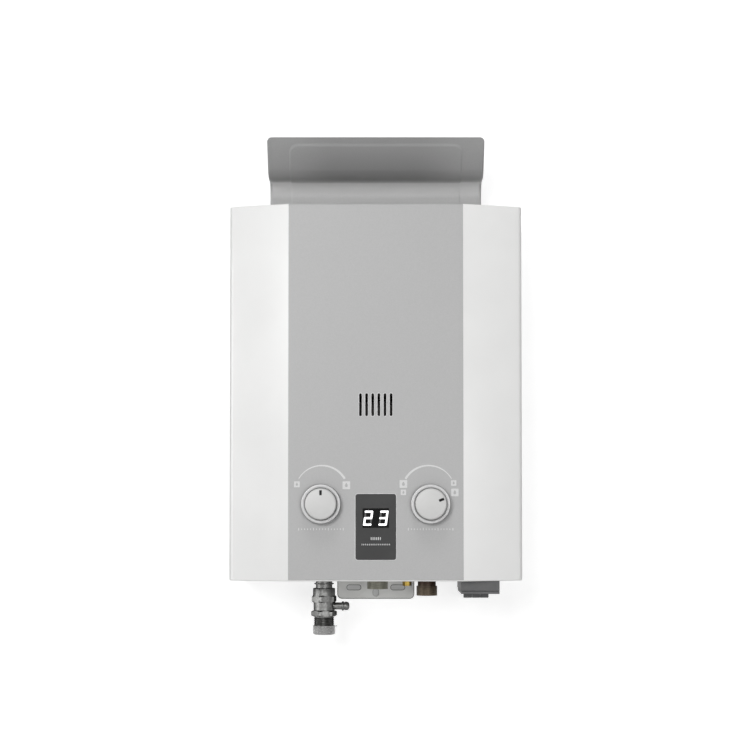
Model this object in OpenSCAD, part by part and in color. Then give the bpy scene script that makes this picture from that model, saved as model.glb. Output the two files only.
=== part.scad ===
// Wall-hung instantaneous gas water heater.
// Millimetres, +Z up, the front faces -Y, and the wall is the plane y = 0.
// The origin is on the wall, below the middle of the casing's lower edge.

/* [Casing] */
// Width over the side walls
body_w = 290; // [280:1:330]
// Depth from the wall to the front of the facia
body_d = 130; // [128:1:150]
// Height of the casing
body_h = 371; // [366:1:420]
// How far the outer edges of the side facets fall back
bow = 19; // [8:1:21]
// Width of the grey facia
facia_w = 171.4; // [150:0.2:180]
// Thickness of the casing's sheet steel
sheet = 1; // [0.6:0.1:1.2]
// Thickness of the facia
facia_t = 0.8; // [0.5:0.1:1.2]
// Radius of the casing's upright bends
edge_r = 6; // [3:0.5:10]
// Gap between the wall and the casing's side walls
wall_gap = 2; // [1.5:0.5:5]
// Width of the casing's turned-in lower edge
lower_lip = 16; // [10:1:18]

/* [Wall fixing] */
// Thickness of the back plate and of the inner brackets
plate = 1.2; // [1:0.1:2]
// Depth of the back plate's side flanges
flange_d = 13; // [10:1:20]
// Width of the lower wall tab
tab_w = 81; // [74:1:100]
// How far the tab reaches below the casing
tab_drop = 24.2; // [23.5:0.1:40]
// Radius of the tab's corners
tab_r = 5; // [2:0.5:10]
// Length of the tab's two level slots
slot_l = 14.4; // [10:0.2:20]
// Width of the tab's level slots
slot_w = 4.9; // [4:0.1:6]
// Distance between the level slots
slot_pitch = 46; // [36:1:48]
// Depth of the level slots below the casing
slot_drop = 12.2; // [10:0.2:14]
// Length of the tab's upright slot
mid_slot_l = 8; // [7:0.5:9]
// Width of the tab's upright slot
mid_slot_w = 5.9; // [5:0.1:6.4]
// Depth of the upright slot's middle below the casing
mid_slot_drop = 17.4; // [16:0.2:18]
// Distance between the upper fixing holes
hang_pitch = 160; // [100:1:180]
// Distance of the upper fixing holes below the casing's top
hang_drop = 53; // [51:1:71]
// Diameter of the upper fixing holes
hang_d = 7; // [5:0.5:10]

/* [Flue hood] */
// Width of the hood
hood_w = 219; // [200:1:230]
// Height of the hood's lip above the casing
hood_rise = 73; // [68:1:100]
// Height of the hood's throat above the casing
throat_rise = 35; // [28:1:40]
// Distance from the wall to the throat
throat_d = 34; // [30:1:36]
// Distance from the wall to the lip
lip_d = 93.5; // [90:0.5:100]
// Lean of the lip forwards in degrees
lip_lean = 28; // [10:1:32]
// Distance from the wall to the foot of the hood's front
foot_d = 37; // [36:1:60]
// Distance from the wall to the hood's back
hood_back = 4; // [3:0.5:6]
// Radius of the round nose under the lip
nose_r = 18; // [10:1:22]
// Radius of the bend at the throat
throat_r = 5; // [3:0.5:8]
// Radius of the lip's corners
lip_r = 5; // [2:0.5:6]
// How far the side walls end below the lip
side_drop = 8; // [6:1:12]
// Width of the raised field on the hood's front
field_w = 174; // [140:1:180]
// How far the raised field ends below the lip
field_drop = 7.6; // [6:0.2:12]
// Height of the raised field
field_t = 0.6; // [0.4:0.1:0.8]
// Width of the hood's foot flange
hood_flange = 8; // [8:0.5:10]

/* [Knobs] */
// Distance between the two knobs
knob_pitch = 107.2; // [104:0.2:112]
// Height of the knobs and valves
knob_h = 75.6; // [74:0.2:80]
// Diameter of the knob ring
ring_d = 39; // [37:0.5:44]
// Diameter of the knob cap
cap_d = 31.6; // [28:0.2:33]
// Width of the ring's rim
rim_w = 3; // [2:0.5:3]
// Height of the ring's rim above the facia
rim_h = 8.2; // [6:0.2:10]
// Height of the cap above the facia
cap_h = 15.5; // [13:0.5:20]
// Rounding of the cap's edge
cap_r = 1.4; // [0.8:0.2:2]
// Gap under the knob
knob_gap = 0.6; // [0.4:0.1:1.5]
// Width of the pointer groove
pointer_w = 2; // [1:0.2:3]
// Radius where the pointer groove starts
pointer_in = 8.4; // [6:0.2:9]
// Radius where the pointer groove ends
pointer_out = 13.5; // [12:0.1:13.6]
// Depth of the pointer groove
pointer_t = 0.4; // [0.2:0.1:0.8]
// Turn of the water knob's pointer from upright
water_turn = 68; // [0:1:68]
// Diameter of the spindles
spindle_d = 8; // [6:0.5:9]
// Depth of the spindle's seat in the valves
spindle_seat = 16; // [10:1:17]
// Diameter of the casing's spindle holes
spindle_hole = 14; // [12:1:20]

/* [Display] */
// Width of the display plate
display_w = 39.7; // [36:0.1:42]
// Height of the display plate
display_h = 64.4; // [60:0.2:68]
// Height of the display plate's middle
display_z = 53.2; // [50:0.2:55]
// How far the display plate stands out of the facia
display_out = 0.6; // [0.2:0.1:1]
// Width of the rim behind the display's opening
display_rim = 2; // [1:0.5:3]
// Width of the display's window
window_w = 25.9; // [24:0.1:30]
// Height of the display's window
window_h = 19.1; // [17.6:0.1:24]
// Height of the window's middle
window_z = 61.8; // [60:0.2:70]
// Depth of the module below the plate
module_drop = 0.4; // [0.2:0.1:1]
// Height of a digit
digit_h = 16.2; // [12:0.2:17]
// Width of a digit
digit_w = 9.4; // [8:0.2:10]
// Width of a segment
segment_w = 2.4; // [1.6:0.2:3]
// Distance between the digits
digit_pitch = 12; // [11:0.2:13]
// Slant of the digits in degrees
digit_slant = 8; // [0:1:8]
// Thickness of a segment
segment_t = 0.2; // [0.1:0.05:0.3]
// Distance from the facia to the display board
board_d = 14; // [10:1:16]
// Thickness of circuit boards
board_t = 1.6; // [1:0.2:2]

/* [Viewing slots] */
// Number of slots
vent_n = 6; // [4:1:8]
// Distance between slots
vent_pitch = 6; // [5:0.2:8]
// Width of a slot
vent_w = 2.7; // [2:0.1:3.5]
// Height of a slot
vent_h = 22.4; // [16:0.2:28]
// Height of the slots' middle
vent_z = 172.8; // [165:0.2:180]

/* [Pipes and fittings] */
// Distance from the facia back to the pipes and valves
service_room = 68; // [66:1:70]
// Outer diameter of the water pipes
pipe_d = 12; // [10:0.5:12]
// Wall of the water pipes
pipe_wall = 1; // [0.7:0.1:1.5]
// Bend radius of the water pipes
bend_r = 12; // [10:0.5:12]
// Outer diameter of the half-inch pipe thread
thread_d = 20.955; // [20.955:0.001:20.955]
// Bore of the fittings
fitting_bore = 14; // [11:0.5:14]
// Place of the hot outlet
hot_x = -52.5; // [-54:0.5:-50]
// Place of the gas inlet
gas_x = 1.8; // [0:0.2:3]
// Place of the cold inlet
cold_x = 51.8; // [51:0.2:53]
// Place of the drain plug
drain_x = 31.7; // [31:0.1:33]
// How far the gas inlet reaches below the casing
gas_drop = 10.5; // [8:0.5:14]
// Length of the gas inlet's thread
gas_thread = 10; // [8:0.5:14]
// Diameter of the gas inlet's neck
gas_neck = 20; // [18:0.2:20.4]
// How far the cold inlet reaches below the casing
cold_drop = 17.2; // [14:0.2:20]
// Length of the cold inlet's thread
cold_thread = 9.6; // [9:0.2:10]
// Diameter of the cold inlet's neck
cold_neck = 18.4; // [17:0.2:19]
// Height of the service shelf
shelf_h = 4; // [3:0.5:5]
// Distance from the facia back to the shelf's front
shelf_room = 20; // [20:1:22]
// Distance from the shelf's ends to the outside of the casing
shelf_side = 9; // [7:1:11]

/* [Hot outlet] */
// Diameter of the outlet stub
stub_d = 16.5; // [16:0.1:17]
// Diameter of the stub's collar below the casing
collar_d = 19.8; // [18:0.2:22]
// How far the collar lies below the casing
collar_drop = 4.6; // [4:0.2:5]
// Thickness of the collar
collar_t = 1.3; // [1:0.1:1.6]
// How far the union nut starts below the casing
nut_drop = 9.7; // [9:0.1:10]
// Height of the union nut's round part
nut_round = 7.9; // [7:0.1:9]
// Height of the union nut's hexagon
nut_hex = 6.5; // [5:0.5:8]
// Diameter of the union nut's round part
nut_d = 22.4; // [22.4:0.1:23]
// Width across the flats of the fittings' hexagons
hex_af = 23; // [23:0.5:26]
// Turn of the union nut's hexagon in degrees
nut_turn = 20; // [0:1:30]
// Height of the tee's round body
tee_h = 8.4; // [8.2:0.2:12]
// Diameter of the tee's round body
tee_d = 21.2; // [20:0.2:22]
// Height of the tee's hexagon
tee_hex = 5.7; // [4:0.1:8]
// Turn of the tee's hexagon in degrees
tee_turn = 9; // [0:1:30]
// Length of the tee's free thread
tee_thread = 17; // [14:0.5:20]
// Diameter of the tee's side spout
spout_d = 7.2; // [6.4:0.2:7.4]
// How far the side spout's middle lies below the union nut
spout_drop = 3.8; // [3.8:0.1:4.6]
// Length of the side spout from the tee's axis
spout_l = 18; // [15:0.5:20]
// Diameter of the purge screw's head
purge_d = 8.7; // [8.2:0.1:9]
// Diameter of the purge screw's ring
purge_ring_d = 9.5; // [9:0.1:10]
// Width of the purge screw's ring
purge_ring = 1.9; // [1:0.1:3]
// Distance from the tee's axis to the purge screw's end
purge_end = 25.8; // [24:0.2:28]
// How far the thread cap covers the thread
cap_cover = 7.6; // [5:0.2:9]
// Wall of the thread cap
cap_wall = 0.9; // [0.6:0.1:1.2]
// Thickness of the thread cap's floor
cap_floor = 1.2; // [0.8:0.1:2]
// Length of the cap's tear tab
tear_l = 2.6; // [2:0.1:4]

/* [Gas and water valves] */
// Depth of the valve blocks
valve_d = 40; // [38:1:44]
// Height of the valve blocks
valve_h = 44; // [42:1:46]
// Place of the gas valve's left end
gas_left = -70; // [-72:1:-68]
// Place of the gas valve's right end
gas_right = 6; // [4:0.5:7]
// Place of the diaphragm
diaphragm_x = 32.5; // [32:0.5:33]
// Thickness of the diaphragm
diaphragm_t = 1.5; // [1:0.1:2]
// Diameter of the diaphragm housing
housing_d = 60; // [58:1:62]
// Diameter of the diaphragm chamber
chamber_bore = 46; // [40:1:46]
// Thickness of the housing's flange
housing_t = 6; // [6:0.5:7]
// Thickness of the diaphragm cover
cover_t = 12; // [11.6:0.2:13]
// Depth of the chamber in the diaphragm cover
cover_bore_d = 6.5; // [6:0.1:7]
// Number of diaphragm screws
screw_n = 6; // [6:1:6]
// Distance of the diaphragm screws from the axis
screw_ring = 26; // [25.5:0.1:26.5]
// Diameter of the small screws
screw_d = 4; // [3:0.5:4]
// Diameter of the small screws' heads
head_d = 7; // [6:0.5:7]
// Height of the small screws' heads
head_t = 2.6; // [2:0.1:3]
// Diameter of the push rod
rod_d = 6; // [5:0.5:6]
// Diameter of the rod's poppet
poppet_d = 16; // [12:1:18]
// Right end of the water valve block
water_right = 74; // [72:1:75]
// Diameter of the solenoid
solenoid_d = 28; // [24:1:30]
// Length of the solenoid
solenoid_l = 34; // [32:1:35]
// Diameter of the solenoid's plunger
plunger_d = 10; // [8:0.5:10]
// Travel of the plunger
plunger_travel = 2.5; // [1.5:0.5:2.5]
// Diameter of the gas riser
riser_d = 14; // [12:1:14]
// Place of the gas riser
riser_x = -34; // [-35:1:-32]
// Length of the switch body
switch_l = 20; // [16:1:20]
// Width of the switch body
switch_w = 6.5; // [5:0.5:6.5]
// Height of the switch body
switch_h = 10; // [8:1:11]
// Travel of the switch button
button_travel = 1.2; // [0.8:0.1:1.2]

/* [Heat exchanger] */
// Width of the combustion chamber
chamber_w = 184; // [180:1:186]
// Distance from the facia back to the combustion chamber
chamber_room = 18; // [18:0.5:20]
// Distance from the wall to the chamber's back
chamber_back = 18; // [18:0.5:19]
// Height of the chamber's lower edge
chamber_z = 182; // [180:1:186]
// Height of the flue collector's room above the chamber
collector_h = 29; // [27:1:31]
// Number of fins
fin_n = 36; // [20:1:40]
// Thickness of a fin
fin_t = 0.6; // [0.4:0.1:0.8]
// Height of the fins
fin_h = 36; // [30:1:40]
// How far the fins end below the chamber's top
fin_drop = 4; // [3:0.5:6]
// Number of fin tubes
tube_n = 5; // [5:1:5]
// Distance from the chamber's outside to the outer fin tubes
tube_edge = 11; // [10:0.5:12]
// Height of the lower turn of the coil above the chamber's edge
coil_up = 23; // [20:1:30]
// Distance from the chamber to the hot pipe's upright run
hot_pipe_out = 26; // [26:1:28]
// Height of the hot pipe's level run
hot_pipe_z = 32; // [31:1:34]

/* [Burner] */
// Number of burner bars
burner_n = 7; // [5:1:7]
// Distance between burner bars
burner_pitch = 22; // [18:1:23]
// Thickness of a burner bar
burner_t = 9; // [7:0.5:10]
// Height of the burner's lower edge
burner_z = 116; // [114:1:118]
// Height of the burner
burner_h = 60; // [54:1:62]
// Distance from the wall to the burner's back
burner_back = 22; // [20:1:24]
// Distance from the facia back to the burner's front
burner_room = 31; // [30:1:33]
// Diameter of the burner's mixing tubes
venturi_d = 14; // [12:0.5:15]
// Height of the mixing tubes and injectors above the burner's lower edge
venturi_up = 13; // [12:0.5:15]
// Number of flame slits on a bar
slit_n = 10; // [6:1:14]
// Width of the gas manifold
manifold_t = 14; // [12:1:14]
// Distance from the facia back to the manifold's axis
manifold_room = 15; // [14:0.5:16]

/* [Battery box] */
// Place of the battery box
box_x = 103; // [102:0.5:104]
// Diameter of a cell
cell_d = 33.5; // [32:0.1:34.2]
// Height of a cell
cell_h = 60; // [58:0.1:61.5]
// Room around a cell
cell_room = 0.5; // [0.3:0.1:0.8]
// Wall of the battery box
box_wall = 1.7; // [1.4:0.1:2]
// Distance from the facia back to the box's front
box_room = 15; // [14:0.5:17]
// Length of the box
box_l = 82; // [80:1:84]
// How far the closed lid reaches below the casing
lid_drop = 13; // [12:0.2:15]
// Thickness of the lid
lid_t = 2.6; // [2:0.2:3]
// Diameter of the lid's hinge barrel
barrel_d = 8; // [7:0.5:8]
// Length of the hinge barrel
barrel_l = 25.6; // [22:0.2:28]
// Diameter of the hinge pin
pin_d = 3; // [2:0.5:3]

/* [Fits] */
// Gap where pieces are assembled
fit = 0.3; // [0.2:0.05:0.4]
// Radial gap of a running fit
running = 0.05; // [0.02:0.01:0.08]

/* [Hidden] */
$fn = 48;

// Casing planes
half_w = body_w / 2;
cover_front = body_d - facia_t;
facet_angle = atan2(bow, half_w - facia_w / 2);
inner_front = cover_front - sheet;
service_d = body_d - service_room;
service_y = -service_d;
shelf_d = body_d - shelf_room;
shelf_w = body_w - 2 * shelf_side;
shelf_turn = 12;
air_slot_n = 6;
air_slot_pitch = 9;
air_slot_w = 4;
air_slot_l = 24;
air_slot_in = 25;
hang_h = body_h - hang_drop;
knob_x = knob_pitch / 2;
knob_floor = 3;
spindle_end = 11;
screw_end = 45;
screw_l = 6;
hood_screw_in = 4;
hood_screw_back = 8;

// Heat exchanger planes
chamber_front = body_d - chamber_room;
chamber_top = body_h - collector_h;
chamber_y = -(chamber_back + chamber_front) / 2;
tube_r = pipe_d / 2;
tube_z = chamber_top - fin_drop - fin_h / 2;
coil_x = chamber_w / 2 + bend_r;
coil_front = chamber_front + fit + tube_r;
coil_back = chamber_back - fit - tube_r;
coil_low = chamber_z + coil_up;
coil_high = (chamber_z + chamber_top) / 2;
hot_pipe_x = -chamber_w / 2 - hot_pipe_out;
tube_pitch = (chamber_front - chamber_back - 2 * tube_edge) / (tube_n - 1);
first_tube_y = chamber_y - tube_pitch * (tube_n - 1) / 2;
last_tube_y = chamber_y + tube_pitch * (tube_n - 1) / 2;
cold_join_z = burner_z + burner_h - bend_r;
bracket_w = 24;
bracket_drop = 42;
bracket_turn = 16;
cut_off_d = 16;
cut_off_t = 6;
sensor_z = 115;
sensor_l = 10;
sensor_d = 6;
sensor_wall = 2.5;

// Burner planes
burner_front = body_d - burner_room;
burner_top = burner_z + burner_h;
venturi_z = burner_z + venturi_up;
frame_gap = 12;
frame_x = burner_pitch * (burner_n - 1) / 2 + burner_t / 2 + frame_gap;
frame_foot_up = 12;
frame_foot_z = burner_z + frame_foot_up;
frame_foot_h = 28;
frame_foot_w = 10;
venturi_wall = 2;
slit_w = 1.2;
slit_depth = 6;
manifold_d = body_d - manifold_room;
manifold_y = -manifold_d;
manifold_end = 10;
manifold_wall = 2.5;
nozzle_d = 7;
nozzle_l = 4;
nozzle_bore = 1;
riser_wall = 2;
manifold_back = manifold_d - manifold_t / 2;

// Valve planes
valve_front = service_d + valve_d / 2;
valve_back = service_d - valve_d / 2;
valve_low = knob_h - valve_h / 2;
valve_top = knob_h + valve_h / 2;
flange_x = diaphragm_x + diaphragm_t;
block_x = flange_x + housing_t;
cover_x = diaphragm_x - cover_t;
plate_t = 2;
plate_d = 36;
rod_collar_d = 12;
rod_collar_t = 3;
rod_collar_off = 2.5;
rod_collar_x = (gas_right + cover_x) / 2 + rod_collar_off;
poppet_t = 2;
poppet_in = 14;
poppet_x = gas_right - poppet_in;
poppet_room_l = 28;
poppet_gap = 1.5;
poppet_room_d = poppet_d + 2 * poppet_gap;
plunger_tip_d = 13;
plunger_tip_t = 2.5;
plunger_room_d = 16;
plunger_room_l = 10;
solenoid_end = 2;
valve_end = 4;
inlet_run = 3;
saddle_h = 28;
saddle_in = 12;
saddle_foot = 10;
outlet_boss_d = 18;
outlet_boss_l = 6;
outlet_up = 8;
outlet_z = knob_h + outlet_up;

// Fitting planes, measured down from the casing
shelf_top = shelf_h + plate;
nut_low = nut_drop + nut_round + nut_hex;
tee_low = nut_low + tee_h;
tee_hex_low = tee_low + tee_hex;
tee_end = tee_hex_low + tee_thread;
nut_lip = 1.5;
nut_bore = collar_d + 2 * fit;
stub_end = nut_drop + nut_lip + fit;
stub_end_t = 2;
spout_z = -(nut_low + spout_drop);
cap_top = tee_end - cap_cover;
cap_end = tee_end + fit + cap_floor;
cap_in_r = thread_d / 2 + running;
cap_out_r = cap_in_r + cap_wall;
drain_boss_d = 11;
drain_boss_low = 1;
drain_head_af = 8;
drain_head_t = 6.4;
drain_plug_d = 5;
drain_plug_l = 14;

// Battery box planes
box_front = body_d - box_room;
box_w = cell_d + 2 * (cell_room + box_wall);
box_back = box_front - box_l;
box_low = -lid_drop + lid_t + fit;
box_head = 8;
box_top = box_low + cell_h + box_head;
barrel_r = barrel_d / 2;
hinge_in = 1;
hinge_y = -(box_back + barrel_r + hinge_in);
hinge_z = -lid_drop - barrel_r;
knuckle_l = barrel_l / 3;
hinge_web = 3;

// Control box planes
control_side = 8;
control_w = 51;
control_d = 23;
control_left = -half_w + control_side;
control_right = control_left + control_w;
control_gap = 3;
control_front = shelf_d - control_gap;
control_back = control_front - control_d;
control_top = 92;
air_slot_x = control_right + 2;
control_wall = 1.6;
pillar_in = 10;
pillar_up = 16;
pillar_l = 5;
relay_w = 22;
relay_h = 24;
relay_t = 10;

function unit(v) = v / norm(v);
function arc(cx, cy, r, a0, a1, n) =
    [for (i = [0:n]) let(a = a0 + (a1 - a0) * i / n) [cx + r * cos(a), cy + r * sin(a)]];
function mirrored(points) = [for (i = [len(points) - 1:-1:0]) [-points[i][0], points[i][1]]];
function turn_right(v) = [v[1], -v[0]];

// Plan of the casing at a distance inside its outer face, from the left rear round to the right rear
function casing_half(inset, rear) =
    let(r = max(edge_r - inset, fit),
        cx = -half_w + inset + r,
        cy = -(cover_front - bow) + (inset + r) * (1 - sin(facet_angle)) / cos(facet_angle))
    concat([[-half_w + inset, rear]],
           arc(cx, cy, r, 180, 270 - facet_angle, 6),
           [[-facia_w / 2 + inset * tan(facet_angle / 2), -cover_front + inset]]);
function casing_plan(inset, rear) =
    let(half = casing_half(inset, rear)) concat(half, mirrored(half));

// Round a corner b of an outline that runs from a to c
function rounded(a, b, c, r, n) =
    let(u = unit(a - b), v = unit(c - b),
        half = acos(u * v) / 2,
        centre = b + unit(u + v) * r / sin(half),
        from = b + u * r / tan(half) - centre,
        to = b + v * r / tan(half) - centre,
        a0 = atan2(from[1], from[0]),
        sweep = atan2(from[0] * to[1] - from[1] * to[0], from * to))
    [for (i = [0:n]) centre + r * [cos(a0 + sweep * i / n), sin(a0 + sweep * i / n)]];

// The hood's front in the plane of y and z, from its foot up to a height
function hood_curve(top) =
    let(foot = [-foot_d, body_h],
        throat = [-throat_d, body_h + throat_rise],
        lip_h = hood_rise - throat_rise - nose_r * (1 - sin(lip_lean)),
        nose = [-lip_d + nose_r * cos(lip_lean) + lip_h * tan(lip_lean), body_h + throat_rise])
    concat([foot],
           rounded(foot, throat, nose, throat_r, 6),
           arc(nose[0], nose[1] + nose_r, nose_r, 270, 180 + lip_lean, 10),
           [[-lip_d + (body_h + hood_rise - top) * tan(lip_lean), top]]);
function curve_normal(points, i) =
    let(last = len(points) - 1,
        before = unit(points[max(i, 1)] - points[max(i, 1) - 1]),
        after = unit(points[min(i, last - 1) + 1] - points[min(i, last - 1)]),
        middle = unit(before + after))
    turn_right(middle) / (middle * before);
function curve_offset(points, distance) =
    [for (i = [0:len(points) - 1]) points[i] + distance * curve_normal(points, i)];
function reversed(points) = [for (i = [len(points) - 1:-1:0]) points[i]];
function strip(points, from, to) =
    concat(curve_offset(points, from), reversed(curve_offset(points, to)));

module box(x0, x1, y0, y1, z0, z1) {
    translate([x0, y0, z0]) cube([x1 - x0, y1 - y0, z1 - z0]);
}

module rod_x(x0, x1, d, y, z) {
    translate([x0, y, z]) rotate([0, 90, 0]) cylinder(h = x1 - x0, d = d);
}

module rod_y(y0, y1, d, x, z) {
    translate([x, y0, z]) rotate([-90, 0, 0]) cylinder(h = y1 - y0, d = d);
}

module rod_z(z0, z1, d, x, y) {
    translate([x, y, z0]) cylinder(h = z1 - z0, d = d);
}

// A hexagon bar along Z with a width across its flats
module hex_z(z0, z1, af, x, y, turn = 0) {
    translate([x, y, z0]) rotate([0, 0, turn]) cylinder(h = z1 - z0, d = af / cos(30), $fn = 6);
}

// A profile in the plane of y and z, drawn out along X
module drawn_x(x0, x1, points) {
    translate([x0, 0, 0]) rotate([90, 0, 90]) linear_extrude(x1 - x0) polygon(points);
}

// A profile in the plane of x and z, drawn out along Y from a rear plane forwards
module drawn_y(rear, length) {
    translate([0, rear, 0]) rotate([90, 0, 0]) linear_extrude(length) children();
}

module pill(length, width) {
    square([length - width, width], center = true);
    for (side = [-1, 1]) translate([side * (length - width) / 2, 0]) circle(d = width);
}

module round_square(w, h, r) {
    square([w - 2 * r, h], center = true);
    square([w, h - 2 * r], center = true);
    for (x = [-1, 1], y = [-1, 1]) translate([x * (w / 2 - r), y * (h / 2 - r)]) circle(r);
}

module ring_outline(outer_d, wall) {
    difference() {
        circle(d = outer_d);
        circle(d = outer_d - 2 * wall);
    }
}

module straight_pipe(from, to, outer_d, wall) {
    along = to - from;
    u = unit(along);
    translate(from) rotate([0, acos(u[2]), atan2(u[1], u[0])])
        linear_extrude(norm(along)) ring_outline(outer_d, wall);
}

module pipe_elbow(corner, into, out, r, outer_d, wall) {
    x = -out;
    z = cross(into, out);
    c = corner - into * r + out * r;
    multmatrix([[x[0], into[0], z[0], c[0]], [x[1], into[1], z[1], c[1]],
                [x[2], into[2], z[2], c[2]], [0, 0, 0, 1]])
        rotate_extrude(angle = 90) translate([r, 0]) ring_outline(outer_d, wall);
}

// A pipe along square corners, each with the same bend
module pipe_run(points, outer_d, wall, r) {
    last = len(points) - 1;
    for (i = [0:last - 1]) {
        u = unit(points[i + 1] - points[i]);
        from = points[i] + u * (i == 0 ? 0 : r);
        to = points[i + 1] - u * (i == last - 1 ? 0 : r);
        if (norm(to - from) > running) straight_pipe(from, to, outer_d, wall);
    }
    for (i = [1:last - 1])
        pipe_elbow(points[i], unit(points[i] - points[i - 1]), unit(points[i + 1] - points[i]), r,
                   outer_d, wall);
}

// A lead: an eight-sided tube whose rings lie square across its route
function lead_tangent(route, i) =
    unit((i == 0 ? [0, 0, 0] : unit(route[i] - route[i - 1]))
         + (i == len(route) - 1 ? [0, 0, 0] : unit(route[i + 1] - route[i])));
function lead_ring(route, i, d, level) =
    let(t = lead_tangent(route, i),
        side = unit(cross(t, level)),
        other = cross(t, side))
    [for (k = [0:7]) route[i] + d / 2 * (cos(45 * k) * side + sin(45 * k) * other)];

module lead(route, d) {
    rings = len(route);
    level = [0.31, 0.52, 0.79];
    points = [for (i = [0:rings - 1]) each lead_ring(route, i, d, level)];
    sides = [for (i = [0:rings - 2], k = [0:7]) each
             [[i * 8 + k, i * 8 + (k + 1) % 8, (i + 1) * 8 + k],
              [i * 8 + (k + 1) % 8, (i + 1) * 8 + (k + 1) % 8, (i + 1) * 8 + k]]];
    polyhedron(points, concat(sides, [[for (k = [7:-1:0]) k]], [[for (k = [0:7]) (rings - 1) * 8 + k]]));
}

module back_plate() {
    side_x = half_w - sheet - fit;
    low = sheet + fit;
    high = body_h - sheet - fit;
    color("gainsboro") difference() {
        union() {
            box(-side_x, side_x, -plate, 0, low, high);
            for (side = [-1, 1]) {
                inner = side * (side_x - plate);
                box(min(inner, side * side_x), max(inner, side * side_x), -flange_d, 0, low, high);
            }
            drawn_y(0, plate) translate([0, (low - tab_drop) / 2 + tab_r])
                round_square(tab_w, low + tab_drop + 2 * tab_r, tab_r);
        }
        for (side = [-1, 1]) {
            rod_y(-2 * plate, plate, hang_d, side * hang_pitch / 2, hang_h);
            drawn_y(plate, 3 * plate) translate([side * slot_pitch / 2, -slot_drop]) pill(slot_l, slot_w);
            for (z = screw_heights())
                rod_x(-side_x - plate, side_x + plate, screw_d + 2 * fit, -flange_d / 2, z);
        }
        drawn_y(plate, 3 * plate) translate([0, -mid_slot_drop]) rotate(90) pill(mid_slot_l, mid_slot_w);
    }
}

function screw_heights() = [screw_end, body_h - screw_end];

module service_shelf() {
    front = -shelf_d;
    color("lightgray") difference() {
        union() {
            box(-shelf_w / 2, shelf_w / 2, front, -plate, shelf_h, shelf_top);
            box(-shelf_w / 2, shelf_w / 2, -2 * plate, -plate, shelf_top, shelf_top + shelf_turn);
        }
        rod_z(0, shelf_top + plate, stub_d + 2 * fit, hot_x, service_y);
        rod_z(0, shelf_top + plate, thread_d + 2 * fit, gas_x, service_y);
        rod_z(0, shelf_top + plate, thread_d + 2 * fit, cold_x, service_y);
        rod_z(0, shelf_top + plate, drain_boss_d + 2 * fit, drain_x, service_y);
        box(box_x - box_w / 2 - fit, box_x + box_w / 2 + fit, front - plate, -box_back + fit, 0,
            shelf_top + plate);
        for (i = [0:air_slot_n - 1]) translate([air_slot_x + i * air_slot_pitch, -air_slot_in, 0])
            box(0, air_slot_w, -air_slot_l / 2, air_slot_l / 2, 0, shelf_top + plate);
    }
}

// The casing's front openings, each widened by a gap
module front_openings(gap) {
    for (side = [-1, 1]) translate([side * knob_x, knob_h]) circle(d = spindle_hole + 2 * gap);
    translate([0, display_z])
        square([display_w + 2 * (fit + gap), display_h + 2 * (fit + gap)], center = true);
    for (i = [0:vent_n - 1]) translate([(i - (vent_n - 1) / 2) * vent_pitch, vent_z])
        rotate(90) pill(vent_h + 2 * gap, vent_w + 2 * gap);
}

module front_cover() {
    throat_in = hood_w / 2 - sheet;
    color("white") difference() {
        linear_extrude(body_h) polygon(casing_plan(0, -wall_gap));
        translate([0, 0, sheet]) linear_extrude(body_h - 2 * sheet) polygon(casing_plan(sheet, plate));
        box(-throat_in, throat_in, -foot_d + 2 * sheet, -hood_back, body_h - 2 * sheet, body_h + sheet);
        drawn_y(-inner_front + sheet, 3 * sheet) front_openings(fit);
        intersection() {
            translate([0, 0, -sheet]) linear_extrude(3 * sheet) polygon(casing_plan(lower_lip, plate));
            box(-half_w, half_w, -shelf_d, plate, -2 * sheet, 3 * sheet);
        }
        box(box_x - box_w / 2 - fit, box_x + box_w / 2 + fit, -box_front - fit, plate, -sheet, 2 * sheet);
        for (z = screw_heights()) rod_x(-body_w, body_w, screw_d + 2 * running, -flange_d / 2, z);
        for (x = hood_screw_x(), y = hood_screw_y())
            rod_z(body_h - 2 * sheet, body_h + sheet, screw_d + 2 * running, x, y);
    }
}

module facia() {
    color("silver") drawn_y(-cover_front, facia_t) difference() {
        translate([0, body_h / 2]) square([facia_w, body_h], center = true);
        front_openings(0);
    }
}

function hood_screw_x() = [for (side = [-1, 1]) side * (hood_w / 2 + hood_flange / 2)];
function hood_screw_y() = [-foot_d + hood_screw_in, -hood_back - hood_screw_back];

module screw_z(top, length) {
    translate([0, 0, top]) cylinder(h = head_t, d = head_d);
    translate([0, 0, top - length]) cylinder(h = length, d = screw_d);
}

module casing_screws() {
    color("lightsteelblue") {
        for (side = [-1, 1], z = screw_heights())
            translate([side * half_w, -flange_d / 2, z]) rotate([0, side * 90, 0]) screw_z(0, screw_l);
        for (x = hood_screw_x(), y = hood_screw_y()) translate([x, y, body_h + sheet]) screw_z(0, screw_l);
    }
}

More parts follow.
